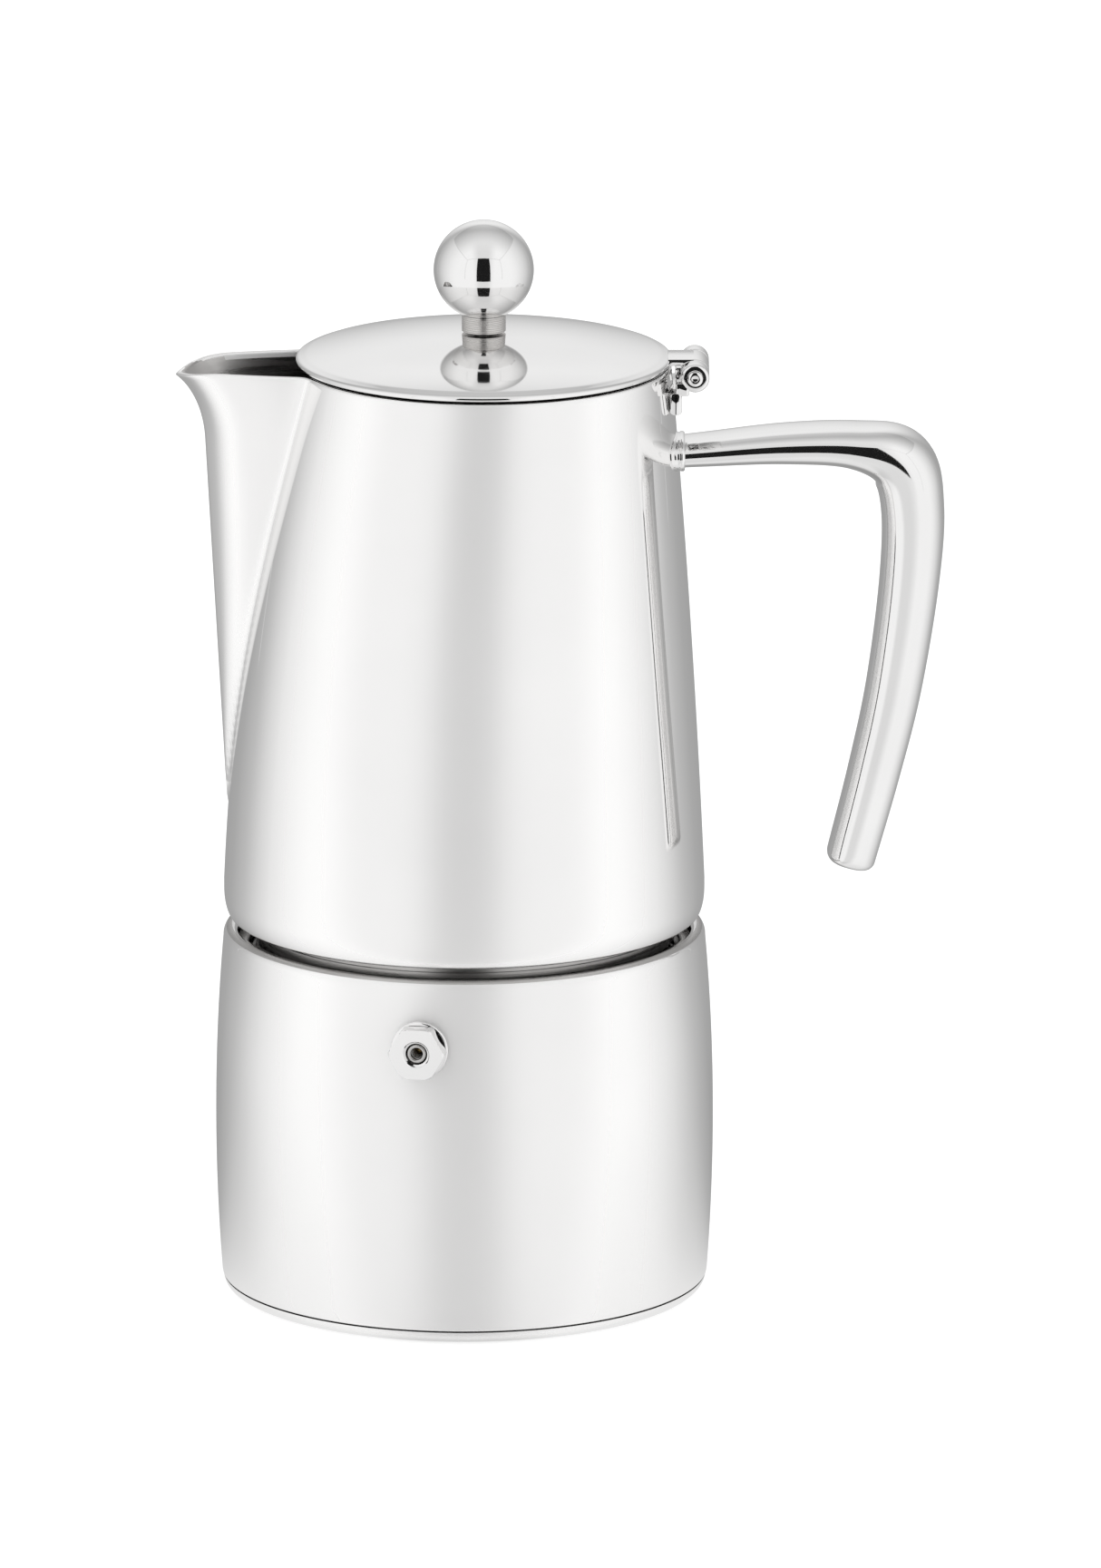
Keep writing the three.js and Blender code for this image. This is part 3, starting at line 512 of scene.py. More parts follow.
def build_boiler():
    skirt = BASE_ROUNDING + GAP
    inside = belly(0) - WALL - GAP
    profile = [(0, UNDERSIDE), (inside, UNDERSIDE), (inside, skirt)]
    profile += arc(belly(skirt) - EDGE, skirt + EDGE, EDGE, -90, 0, 3)
    profile += belly_points(skirt + 2 * EDGE, BELLY_TOP, 40, 0)
    size = SHOULDER_ROUNDING
    profile += arc(belly(BELLY_TOP) - size, SHOULDER - size, size, 10, 90, 10)
    profile += [(NECK_OUTER + GAP, SHOULDER), (NECK_OUTER + GAP, SHOULDER - WALL)]
    size = SHOULDER_INNER_ROUNDING
    profile += arc(SHOULDER_INNER, SHOULDER - WALL - size, size, 90, 10, 5)
    profile += belly_points(INSIDE_HIGH, INSIDE_LOW, 24, WALL)
    size = FLOOR_ROUNDING
    profile += arc(belly(INSIDE_LOW) - WALL - size, BOILER_FLOOR + size, size, 0, -90, 6)
    profile += [(0, BOILER_FLOOR)]

    def hidden(centre, normal):
        return math.hypot(centre.x, centre.y) < belly(centre.z) - 0.5 and centre.z < SHOULDER - 0.1

    shell = piece("boiler_body", *turned(profile), SATIN, "boiler", ["boiler_shell"], inner=(PLAIN, hidden))
    drill_valve_hole(shell)

    size = BASE_ROUNDING
    rim = belly(0) - size
    cap = [(0, 0)] + arc(rim, size, size, -90, 0, 12) + arc(rim, size, size - WALL, 0, -90, 6) + [(0, WALL)]
    piece("base_pan", *turned(cap), SATIN, "boiler", ["base_cap"])
    radius = belly(0) - WALL - 1
    core = [(0, CORE_LOW), (radius, CORE_LOW), (radius, CORE_HIGH), (0, CORE_HIGH)]
    piece("core_disc", *turned(core, SMALL_SIDES), ALUMINIUM, "boiler", ["base_core"])
    build_neck()


def drill_valve_hole(shell):
    """Opens the shell's wall for the valve's shank."""
    bpy.ops.mesh.primitive_cylinder_add(vertices=SMALL_SIDES, radius=SHELL_HOLE * MM, depth=20 * MM)
    drill = bpy.context.active_object
    drill.matrix_world = valve_frame() @ drill.matrix_world
    drill.location = valve_frame() @ Vector((0, 0, SHELL_WALL * MM))
    cut_out(shell, drill)


def cut_out(obj, tool):
    """Cuts the tool out of an object, and removes the tool."""
    cut = obj.modifiers.new("cut", "BOOLEAN")
    cut.operation = "DIFFERENCE"
    cut.solver = "EXACT"
    cut.object = tool
    bpy.context.view_layer.update()
    bpy.context.view_layer.objects.active = obj
    bpy.ops.object.modifier_apply(modifier="cut")
    bpy.data.objects.remove(tool)


def threaded_wall(radius, depth, low, high, turns, start):
    """Rings of a wall with a screw thread of rounded ridges standing out of it. The
    thread fades in and out at its ends, and crest flattens the tops of the ridges."""
    crest = 1.3
    fade = 4
    rings = []
    for z in spaced(low, high, 70):
        ring = []
        for i in range(SIDES):
            angle = 2 * math.pi * i / SIDES
            along = (z - start) / THREAD_PITCH - angle / (2 * math.pi)
            ridge = max(0.0, 1 - abs(along - round(along)) * THREAD_PITCH)
            inside = min(1.0, max(0.0, along + 0.3) * fade, max(0.0, turns - along - 0.7) * fade)
            reach = radius + depth * inside * min(1.0, ridge * crest)
            ring.append((reach * math.cos(angle), reach * math.sin(angle), z))
        rings.append(ring)
    return rings


def build_neck():
    lip = SHOULDER - WALL - GAP
    foot = lip - FLANGE_THICKNESS
    rings = [circle_ring(NECK_INNER, foot), circle_ring(NECK_FLANGE, foot), circle_ring(NECK_FLANGE, lip)]
    rings += [circle_ring(NECK_OUTER, lip)]
    rings += threaded_wall(NECK_OUTER, THREAD_DEPTH, lip + 0.2, NECK_TOP - 0.5, NECK_THREAD_TURNS,
                           NECK_THREAD_START)
    rings += [circle_ring(NECK_OUTER - EDGE, NECK_TOP), circle_ring(NECK_INNER + EDGE, NECK_TOP)]
    rings += [circle_ring(NECK_INNER, NECK_TOP - EDGE)]
    piece("neck_ring", *skin(rings, looped=True), PLAIN, "boiler", ["boiler_neck"])


# ---------- valve ----------

def valve_frame():
    """From the valve's own frame, +Z out along its axis, to the pot's."""
    return (Matrix.Translation((0, 0, VALVE_HEIGHT * MM)) @ Matrix.Rotation(VALVE_TURN, 4, "Z")
            @ Matrix.Rotation(math.pi / 2, 4, "X"))


def on_valve(shape):
    vertices, faces = shape
    place = valve_frame()
    return [(place @ (Vector(v) * MM)) / MM for v in vertices], faces


def hex_prism(low, high, bore, chamfer):
    """A bored hexagon with its corners turned off on the outer face."""
    sides = 96
    apothem = HEX_ACROSS_FLATS / 2
    corner = HEX_ACROSS_FLATS / math.sqrt(3) - 0.12
    angles = [2 * math.pi * (i + 0.5) / sides for i in range(sides)]
    levels = ((low, 0), (high - chamfer, 0), (high - chamfer / 2, chamfer * 0.35), (high, chamfer))
    rings = []
    for z, turned_off in levels:
        ring = []
        for angle in angles:
            flat = apothem / math.cos(angle % (math.pi / 3) - math.pi / 6)
            reach = min(flat, corner - turned_off)
            ring.append((reach * math.cos(angle), reach * math.sin(angle), z))
        rings.append(ring)
    for radius, z in bore:
        rings.append([(radius * math.cos(angle), radius * math.sin(angle), z) for angle in angles])
    return skin(rings, looped=True)


def build_valve():
    low, high = VALVE_WASHER_SPAN
    washer = softened([(SHANK_HOLE, low, 0.1), (VALVE_WASHER_RADIUS, low, 0.15),
                       (VALVE_WASHER_RADIUS, high, 0.35), (SHANK_HOLE, high, 0.1)])
    piece("valve_washer_ring", *on_valve(turned(washer, 96)), POLISHED, "boiler", ["valve_washer"])
    build_valve_body()
    low, high = NUT_SPAN
    nut = [(SHANK_HOLE, high), (SHANK_HOLE, low)]
    piece("valve_clamp_nut", *on_valve(hex_prism(low, high, nut, 0.4)), BRASS, "boiler", ["valve_nut"])
    inner = tube_profile(SHANK_HOLE, INNER_WASHER_RADIUS, *INNER_WASHER_SPAN)
    piece("valve_inner_seal", *on_valve(turned(inner, 64)), FIBRE, "boiler", ["valve_inner_washer"])
    low, high = RETAINER_SPAN
    ring = softened([(RETAINER_INNER, low, 0.1), (RETAINER_OUTER, low, 0.1),
                     (RETAINER_OUTER, high, 0.3), (RETAINER_INNER, high, 0.3)])
    piece("valve_mouth_ring", *on_valve(turned(ring, 64)), PLAIN, "boiler", ["valve_retainer"])
    low, high = PLUNGER_SPAN
    pin = [(0, low), (PLUNGER_SEAT - 0.4, low), (PLUNGER_SEAT, low + 0.4), (PLUNGER_SEAT, low + 1.1)]
    pin += [(PLUNGER_STEM, low + 1.3), (PLUNGER_STEM, high - 1), (0.2, high - 0.1), (0, high)]
    piece("valve_plunger_pin", *on_valve(turned(pin, 48)), BRASS, "valve_plunger", ["valve_pin"])
    build_spring()


def build_valve_body():
    low, high = HEX_SPAN
    bore = [(VALVE_RECESS + 0.2, high), (VALVE_RECESS, high - 0.2), (VALVE_RECESS, RECESS_BOTTOM)]
    bore += [(VALVE_BORE, RECESS_BOTTOM - 0.05), (VALVE_BORE, BORE_BOTTOM + 0.2), (VALVE_INLET, BORE_BOTTOM)]
    bore += [(VALVE_INLET, VALVE_END + 0.2), (VALVE_INLET + 0.2, VALVE_END)]
    bore += [(SHANK_RADIUS - EDGE, VALVE_END), (SHANK_RADIUS, VALVE_END + EDGE), (SHANK_RADIUS, low)]
    body = on_valve(hex_prism(low, high, bore, 0.35))
    piece("valve_hexagon", *body, POLISHED, "boiler", ["valve_body"], sharp=12)


def build_spring():
    low, high = SPRING_SPAN
    steps = 30 * SPRING_TURNS
    wire_turns = [2 * math.pi * i / 10 for i in range(10)]
    rings = []
    for k in range(steps + 1):
        angle = 2 * math.pi * SPRING_TURNS * k / steps
        outward = Vector((math.cos(angle), math.sin(angle), 0))
        centre = outward * SPRING_RADIUS + Vector((0, 0, low + (high - low) * k / steps))
        rings.append([centre + (outward * math.cos(a) + Vector((0, 0, math.sin(a)))) * SPRING_WIRE
                      for a in wire_turns])
    coil = piece("valve_coil", *on_valve(skin(rings)), PLAIN, "boiler", ["valve_spring"])
    outward = valve_frame().to_3x3() @ Vector((0, 0, 1))
    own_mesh(coil)


# ---------- funnel and seal ----------

def perforated(radius, low, high, hole, rings):
    """A disc with rings of round holes."""
    sides, hole_sides = 128, 12
    loops = [[Vector(point) for point in circle_ring(radius, 0, sides)]]
    for ring in range(rings + 1):
        in_ring = max(1, 6 * ring)
        reach = radius * ring / (rings + 1)
        for i in range(in_ring):
            angle = 2 * math.pi * i / in_ring
            x, y = reach * math.cos(angle), reach * math.sin(angle)
            loops.append([Vector((x + hole * math.cos(-a), y + hole * math.sin(-a), 0))
                          for a in (2 * math.pi * k / hole_sides for k in range(hole_sides))])
    flat = [point for loop in loops for point in loop]
    count = len(flat)
    vertices = [(p.x, p.y, low) for p in flat] + [(p.x, p.y, high) for p in flat]
    faces = []
    for a, b, c in tessellate_polygon(loops):
        faces.append((a, b, c))
        faces.append((c + count, b + count, a + count))
    start = 0
    for loop in loops:
        size = len(loop)
        for i in range(size):
            one, two = start + i, start + (i + 1) % size
            faces.append((one, two, two + count, one + count))
        start += size
    return vertices, faces


def build_brew_parts():
    rim = NECK_TOP + GAP
    rim_top = rim + RIM_THICKNESS
    profile = softened([
        (STEM_INNER, STEM_BOTTOM, 0.1),
        (STEM_OUTER, STEM_BOTTOM, 0.1),
        (STEM_OUTER, BASKET_FLOOR - FUNNEL_FALL, 4),
        (BASKET_OUTER - BASKET_CORNER, BASKET_FLOOR - BASKET_CORNER, 3),
        (BASKET_OUTER, BASKET_FLOOR, 2),
        (BASKET_OUTER, rim, EDGE),
        (NECK_OUTER, rim, EDGE),
        (NECK_OUTER, rim_top, EDGE),
        (BASKET_INNER, rim_top, 0.8),
        (BASKET_INNER, BASKET_FLOOR, 1.2),
        (BASKET_INNER - BASKET_CORNER, BASKET_FLOOR - 1.2, 1),
        (STEM_INNER, BASKET_FLOOR - FUNNEL_FALL + 1, 3),
    ], 6)
    piece("funnel_basket", *turned(profile, 144), PLAIN, "funnel", ["funnel"])
    plate = perforated(FUNNEL_PLATE_RADIUS, *FUNNEL_PLATE_SPAN, 0.8, 9)
    piece("funnel_floor", *plate, PLAIN, "funnel", ["funnel_plate"])
    piece("filter_disc", *perforated(FILTER_RADIUS, *FILTER_SPAN, 0.6, 10), PLAIN, "filter", ["filter_plate"])
    ring = tube_profile(GASKET_INNER, GASKET_OUTER, *GASKET_SPAN, 0.8)
    piece("gasket_ring", *turned(ring, 144), SILICONE, "seal", ["gasket"])


# ---------- jug ----------

def clamp01(value):
    return min(1.0, max(0.0, value))


def cone_rise(z):
    return clamp01((z - CONE_START) / (JUG_RIM - CONE_START))


def cone_centre(z):
    return RIM_OFFSET * cone_rise(z) ** 2


def cone_radius(z):
    roll = clamp01((JUG_ROLL_TOP - z) / (JUG_ROLL_TOP - JUG_BOTTOM))
    rise = cone_rise(z)
    return JUG_RADIUS - CONE_SLOPE * rise - CONE_BEND * rise ** 2 - JUG_ROLL * (1 - math.sqrt(1 - roll ** 2))


def spout_reach(z):
    flare = clamp01((z - LIP_FLARE_START) / (JUG_RIM - LIP_FLARE_START))
    return SPOUT_REACH + SPOUT_LEAN * (z - SPOUT_START) + LIP_FLARE * flare ** LIP_FLARE_POWER


def spout_half(behind, length, half_width, bluntness):
    """The spout's half width at a distance behind its edge: round, then a broad front
    that spreads at a steady slope, then flanks."""
    if behind <= 0:
        return 0
    flank = half_width * (behind / length) ** bluntness
    front = math.sqrt((FRONT_SLOPE * behind) ** 2 + 2 * NOSE_RADIUS * behind)
    return (flank ** -4 + front ** -4) ** -0.25


def spout_wall(turn, apex, half_width, radius, bluntness):
    """Where a ray from the cone's centre, turn away from -X, leaves the spout."""
    root = math.sqrt(radius ** 2 - half_width ** 2)
    if apex <= root:
        return 0
    near, far = 0.0, apex / math.cos(turn)
    for _ in range(30):
        reach = (near + far) / 2
        behind = apex - reach * math.cos(turn)
        if reach * abs(math.sin(turn)) < spout_half(behind, apex - root, half_width, bluntness):
            near = reach
        else:
            far = reach
    return near


def jug_turns():
    """Angles round the jug from -X, close together across the spout."""
    fine_steps, coarse_steps = 96, 116
    fine = [-SPOUT_ARC + 2 * SPOUT_ARC * i / fine_steps for i in range(fine_steps)]
    coarse = [SPOUT_ARC + (360 - 2 * SPOUT_ARC) * i / coarse_steps for i in range(coarse_steps)]
    return [math.radians(turn) for turn in fine + coarse]


JUG_TURNS = jug_turns()


def jug_ring(z, inset):
    centre = cone_centre(z)
    radius = cone_radius(z) - inset
    rise = clamp01((z - SPOUT_START) / (JUG_RIM - SPOUT_START))
    half_width = max(0.1, SPOUT_HALF_WIDTH * math.sin(rise * math.pi / 2) - inset)
    apex = spout_reach(z) + centre - SPOUT_WALL * inset
    bluntness = SPOUT_BLUNTNESS - SPOUT_SHARPENING * rise
    ring = []
    for turn in JUG_TURNS:
        reach = radius
        if rise > 0 and math.cos(turn) > 0.5:
            wall = spout_wall(turn, apex, half_width, radius, bluntness)
            near = max(0.0, CREASE * rise - abs(wall - radius)) / (CREASE * rise)
            reach = max(wall, radius) + CREASE * rise * near ** 2 / 4
        x = centre - reach * math.cos(turn)
        near_lip = clamp01((-x - DROOP_REACH) / DROOP_LENGTH) ** 2
        droop = LIP_DROOP * near_lip * clamp01((z - DROOP_START) / (JUG_RIM - DROOP_START))
        ring.append((x, reach * math.sin(turn), z - droop))
    return ring


def build_jug():
    half = WALL / 2
    lip_start = 170
    levels = spaced(JUG_BOTTOM + half, CONE_START, 14)[:-1]
    levels += spaced(CONE_START, lip_start, 44)[:-1]
    levels += spaced(lip_start, JUG_RIM - half, 26)
    roundings = [math.radians(a) for a in range(22, 180, 22)]
    rings = [jug_ring(z, 0) for z in levels]
    rings += [jug_ring(JUG_RIM - half + half * math.sin(a), half - half * math.cos(a)) for a in roundings]
    rings += [jug_ring(z, WALL) for z in reversed(levels)]
    rings += [jug_ring(JUG_BOTTOM + half - half * math.sin(a), half + half * math.cos(a)) for a in roundings]

    def inside(centre, normal):
        away = Vector((centre.x - cone_centre(centre.z), centre.y, 0))
        return away.dot(normal) < 0 and centre.z < JUG_RIM - 1

    piece("jug_body", *skin(rings, looped=True), SATIN, "jug", ["jug_shell"], inner=(PLAIN, inside))
    build_collar()
    low, high = JUG_FLOOR_SPAN
    floor = tube_profile(3.4, cone_radius(high) - WALL - 0.4, low, high, 0.1)
    piece("jug_base", *turned(floor), PLAIN, "jug", ["jug_floor"])
    column = softened([
        (COLUMN_BORE, COLUMN_BOTTOM, 0),
        (COLUMN_FOOT, COLUMN_BOTTOM, 0.2),
        (COLUMN_FOOT, COLUMN_BOTTOM + 0.8, 0.5),
        (COLUMN_WAIST, COLUMN_BOTTOM + 2.8, 3),
        (COLUMN_TIP, COLUMN_TOP, 0.4),
        (COLUMN_BORE, COLUMN_TOP, 0.4),
    ], 6)
    piece("riser_tube", *turned(column, 96), PLAIN, "jug", ["riser_column"])
    build_hood()


def build_hood():
    """The column's hood, with two side slots that the coffee runs out of."""
    size = HOOD_ROUNDING
    hood = [(0, HOOD_TOP - WALL)]
    hood += arc(HOOD_OUTER - size + 0.1, HOOD_TOP - size - 0.1, size - WALL, 90, 0, 6)
    hood += [(HOOD_INNER, HOOD_BOTTOM), (HOOD_OUTER, HOOD_BOTTOM)]
    hood += arc(HOOD_OUTER - size, HOOD_TOP - size, size, 0, 90, 8) + [(0, HOOD_TOP)]
    cap = piece("riser_hood", *turned(hood, 96), PLAIN, "jug", ["column_cap"])
    bpy.ops.mesh.primitive_cube_add(size=1)
    cutter = bpy.context.active_object
    cutter.scale = Vector(SLOT_SIZE) * MM
    cutter.location = (0, 0, SLOT_HEIGHT * MM)
    cut_out(cap, cutter)


def build_collar():
    bore = NECK_OUTER + THREAD_DEPTH + COLLAR_CLEARANCE
    low = JUG_BOTTOM + COLLAR_RECESS
    rings = threaded_wall(bore, -COLLAR_THREAD_DEPTH, low + EDGE, COLLAR_TOP - EDGE, COLLAR_THREAD_TURNS,
                          COLLAR_THREAD_START)
    rings += [circle_ring(bore + EDGE, COLLAR_TOP), circle_ring(COLLAR_OUTER, COLLAR_TOP)]
    rings += [circle_ring(COLLAR_OUTER, low), circle_ring(bore + EDGE, low)]
    piece("collar_ring", *skin(rings, looped=True), PLAIN, "jug", ["jug_collar"])


# ---------- handle ----------

# Stations of the bar: centre x and z, thickness in the bend's plane, width along Y.
HANDLE_STATIONS = [
    (36, 171.0, 4.9, 14.0),
    (48, 172.0, 5.7, 15.5),
    (64, 173.2, 7.0, 17.6),
    (78, 172.9, 8.6, 18.6),
    (87, 169.6, 13, 18.6),
    (89.6, 160.5, 12.7, 18),
    (89, 145, 12, 17),
    (86, 123.5, 11.2, 16),
    (82, 105.5, 10.5, 15.2),
    (77.6, 88.6, 9.9, 14.8),
]
SQUARENESS = 2.6  # of the bar's section: an oval at 2, and squarer above it
HANDLE_ROOT = 40  # the bar starts here, inside the jug's wall
TIP_LENGTH, TIP_ROUNDING = 1.6, 3.2
ROOT_HEIGHT, ROOT_THICKNESS, ROOT_WIDTH = 171.6, 5.3, 14.8
# The weld ring: distance along X, and how much larger than the bar's root it is there.
WELD_RING = ((40.5, 1.3), (42.6, 1.3), (43, 1.1), (43.3, 1.5), (43.8, 1.5), (44.1, 1), (44.1, 0.2))


def along_stations(t):
    """The station at t, from 0 to 1, on a Catmull-Rom curve; and its direction."""
    rows = [Vector(row) for row in HANDLE_STATIONS]
    rows = [rows[0] * 2 - rows[1]] + rows + [rows[-1] * 2 - rows[-2]]
    place = t * (len(HANDLE_STATIONS) - 1)
    k = min(int(place), len(HANDLE_STATIONS) - 2)
    u = place - k
    a, b, c, d = rows[k:k + 4]
    linear, square, cubic = c - a, a * 2 - b * 5 + c * 4 - d, b * 3 - a - c * 3 + d
    value = (b * 2 + linear * u + square * u ** 2 + cubic * u ** 3) / 2
    slope = (linear + square * 2 * u + cubic * 3 * u ** 2) / 2
    return value, Vector((slope[0], slope[1])).normalized()


def bar_section(thickness, width):
    """A superellipse about the origin."""
    points = []
    for i in range(BAR_SIDES):
        angle = 2 * math.pi * i / BAR_SIDES
        x, y = math.cos(angle), math.sin(angle)
        points.append((math.copysign(abs(x) ** (2 / SQUARENESS), x) * thickness / 2,
                       math.copysign(abs(y) ** (2 / SQUARENESS), y) * width / 2))
    return points


def bar_ring(centre, direction, thickness, width):
    normal = Vector((-direction.y, direction.x))
    ring = []
    for across, along in bar_section(thickness, width):
        ring.append((centre[0] + normal.x * across, along, centre[1] + normal.y * across))
    return ring


def build_handle():
    steps = 120
    rings = []
    for k in range(steps + 1):
        station, direction = along_stations(k / steps)
        if station[0] < HANDLE_ROOT and k < steps / 2:
            continue
        rings.append(bar_ring(station, direction, station[2], station[3]))
    station, direction = along_stations(1)
    for a in range(15, 91, 15):
        grown = TIP_LENGTH * math.sin(math.radians(a))
        shrunk = TIP_ROUNDING * (1 - math.cos(math.radians(a)))
        tip = Vector((station[0], station[1])) + direction * grown
        rings.append(bar_ring(tip, direction, station[2] - shrunk, station[3] - shrunk))
    piece("handle_bar", *skin(rings), POLISHED, "jug", ["handle"], sharp=60)
    build_ferrule()


def build_ferrule():
    """The ring of bright weld round the root of the handle."""
    rings = []
    for x, grow in WELD_RING:
        section = bar_section(ROOT_THICKNESS + grow, ROOT_WIDTH + grow)
        rings.append([(x, along, ROOT_HEIGHT + across) for across, along in section])
    piece("handle_weld_ring", *skin(rings), POLISHED, "jug", ["handle_ferrule"], sharp=50)


# ---------- hinge ----------

# The pin's rounded end with its dimple: radius, and distance from its outermost point.
PIN_HEAD = ((0, 0.5), (0.5, 0.45), (0.7, 0.05), (1, 0), (1.4, 0.2), (1.5, 0.5), (1.1, 0.6))
# A slab's soft edge: distance from its face, and how much smaller the slab is there.
SLAB_EDGE = ((0, 0.25), (0.07, 0.07), (0.25, 0))


def barrel_points(profile, sides=72):
    """Turns a profile of (radius, y) about the hinge's axis."""
    vertices, faces = turned(profile, sides)
    return [(HINGE_X + x, z, HINGE_Z + y) for x, y, z in vertices], faces


def knuckle(y0, y1, front=0.4, back=0.4):
    """A rolled knuckle with rounded ends."""
    return barrel_points(softened([(BARREL_BORE, y0, 0.1), (BARREL_RADIUS, y0, front),
                                   (BARREL_RADIUS, y1, back), (BARREL_BORE, y1, 0.1)], 6))


def slab(x0, x1, y0, y1, z0, z1, soft):
    """A plate in the XZ plane drawn along Y, with soft edges."""
    outline = softened([(x0, z0, soft), (x1, z0, soft), (x1, z1, soft), (x0, z1, soft)])
    middle_x, middle_z = (x0 + x1) / 2, (z0 + z1) / 2
    levels = [(y0 + depth, shrink) for depth, shrink in SLAB_EDGE]
    levels += [(y1 - depth, shrink) for depth, shrink in reversed(SLAB_EDGE)]
    rings = []
    for y, shrink in levels:
        rings.append([(x - math.copysign(shrink, x - middle_x), y, z - math.copysign(shrink, z - middle_z))
                      for x, z in outline])
    return skin(rings)


def merged(*shapes):
    vertices, faces = [], []
    for more_vertices, more_faces in shapes:
        offset = len(vertices)
        vertices += list(more_vertices)
        faces += [tuple(i + offset for i in face) for face in more_faces]
    return vertices, faces


def build_hinge():
    low = corner_mm("hinge_bracket", 0)[2]
    parts = [slab(PLATE_INSIDE, PLATE_OUTSIDE, -BARREL_HALF, BARREL_HALF, low, HINGE_Z - PLATE_DROP, 1.1)]
    for side in (-1, 1):
        y0, y1 = sorted((side * BARREL_HALF, side * (KNUCKLE_SPLIT + KNUCKLE_GAP)))
        parts.append(knuckle(y0, y1, *(KNUCKLE_ENDS if side < 0 else reversed(KNUCKLE_ENDS))))
        parts.append(slab(ARM_INSIDE, HINGE_X - 1.2, y0 + 0.1, y1 - 0.1, HINGE_Z - 3.6, HINGE_Z - 1, 0.5))
    piece("hinge_plate", *merged(*parts), POLISHED, "jug", ["hinge_bracket"], sharp=35)
    end = -BARREL_HALF - PIN_STANDS_OUT
    pin = [(radius, end + y) for radius, y in PIN_HEAD]
    pin += [(radius, -y) for radius, y in reversed(pin)]
    piece("hinge_rod", *barrel_points(pin, 48), POLISHED, "jug", ["hinge_pin"])
    strap = slab(STRAP_INSIDE, HINGE_X, -STRAP_HALF, STRAP_HALF, HINGE_Z + 1.5, HINGE_Z + BARREL_RADIUS, 0.3)
    leaf = merged(strap, knuckle(KNUCKLE_GAP - KNUCKLE_SPLIT, KNUCKLE_SPLIT - KNUCKLE_GAP))
    piece("lid_strap", *leaf, POLISHED, "lid", ["lid_knuckle"], sharp=35)


# ---------- lid and knob ----------

LID_CENTRE = (RIM_OFFSET, 0)
LID_SAG = LID_APEX - LID_BOTTOM - LID_EDGE
DOME_RADIUS = ((LID_RADIUS - LID_BEAD) ** 2 + LID_SAG ** 2) / (2 * LID_SAG)
# Where the dome rolls over: distance inside the lid's radius, and below its edge's top.
LID_ROLL = ((1, -0.02), (0.6, 0.06), (0.25, 0.25), (0.05, 0.5))


def dome_points(start, stop, steps, drop):
    return [(radius, LID_APEX - drop - DOME_RADIUS + math.sqrt(DOME_RADIUS ** 2 - radius ** 2))
            for radius in spaced(start, stop, steps)]


def build_lid():
    bead = LID_BOTTOM + LID_BEAD
    profile = dome_points(LID_HOLE, LID_RADIUS - 1.6, 40, 0)
    profile += [(LID_RADIUS - inward, LID_BOTTOM + LID_EDGE - down) for inward, down in LID_ROLL]
    profile += [(LID_RADIUS, LID_BOTTOM + 0.45)]
    profile += arc(LID_RADIUS - LID_BEAD, bead, LID_BEAD, 0, -90, 4)
    profile += arc(LID_RADIUS - 1.3, bead, LID_BEAD, -90, -180, 4)
    profile += dome_points(LID_RADIUS - 2.2, LID_HOLE, 24, LID_SHEET)
    piece("lid_dome", *turned(profile, SIDES, LID_CENTRE), POLISHED, "lid", ["lid"])


def build_knob():
    foot, head = LID_APEX + GAP, KNOB_HEIGHT - KNOB_RADIUS + KNOB_SEAT
    bore, groove = SCREW_RADIUS + GAP, STEM_RADIUS - 0.1
    stem = [(bore, foot), (groove, foot), (STEM_RADIUS, foot + 0.1)]
    for k in range(STEM_RIBS):
        z = foot + 0.15 + (head - foot - 0.25) * k / STEM_RIBS
        stem += [(STEM_RADIUS, z), (groove, z + GROOVE_WIDTH / 2), (STEM_RADIUS, z + GROOVE_WIDTH)]
    stem += [(groove, head), (bore, head)]
    piece("knob_collar", *turned(stem, 96, LID_CENTRE), TURNED, "lid", ["knob_stem"])
    seat = math.degrees(math.asin((STEM_RADIUS - 0.6) / KNOB_RADIUS))
    ball = [(0, KNOB_HEIGHT - KNOB_RADIUS * math.cos(math.radians(seat)))]
    ball += arc(0, KNOB_HEIGHT, KNOB_RADIUS, seat - 90, 88, 70) + [(0, KNOB_HEIGHT + KNOB_RADIUS)]
    piece("knob_sphere", *turned(ball, 128, LID_CENTRE), POLISHED, "lid", ["knob_ball"])
    washer = tube_profile(bore, KNOB_WASHER_RADIUS, *[LID_APEX - drop for drop in KNOB_WASHER_DROPS])
    piece("knob_seat_washer", *turned(washer, 48, LID_CENTRE), PLAIN, "lid", ["knob_washer"])
    top = LID_APEX - SCREW_DROP
    low, tip = top - SCREW_HEAD, top + SCREW_LENGTH
    screw = [(0, low), (1.6, low), (2.4, top - 1.5), (SCREW_HEAD_RADIUS, top - 0.9)]
    screw += [(SCREW_HEAD_RADIUS, top), (SCREW_RADIUS, top), (SCREW_RADIUS, tip), (0, tip)]
    piece("knob_fixing_screw", *turned(screw, 48, LID_CENTRE), PLAIN, "lid", ["knob_screw"])


# ---------- studio ----------

CAMERA_ELEVATION = math.radians(14)
CAMERA_DISTANCE = 4.0
FRAME_WIDTH = 0.2207  # what the picture spans at the pot, side to side
AIM = Vector((0.0173, 0, 0.1031))


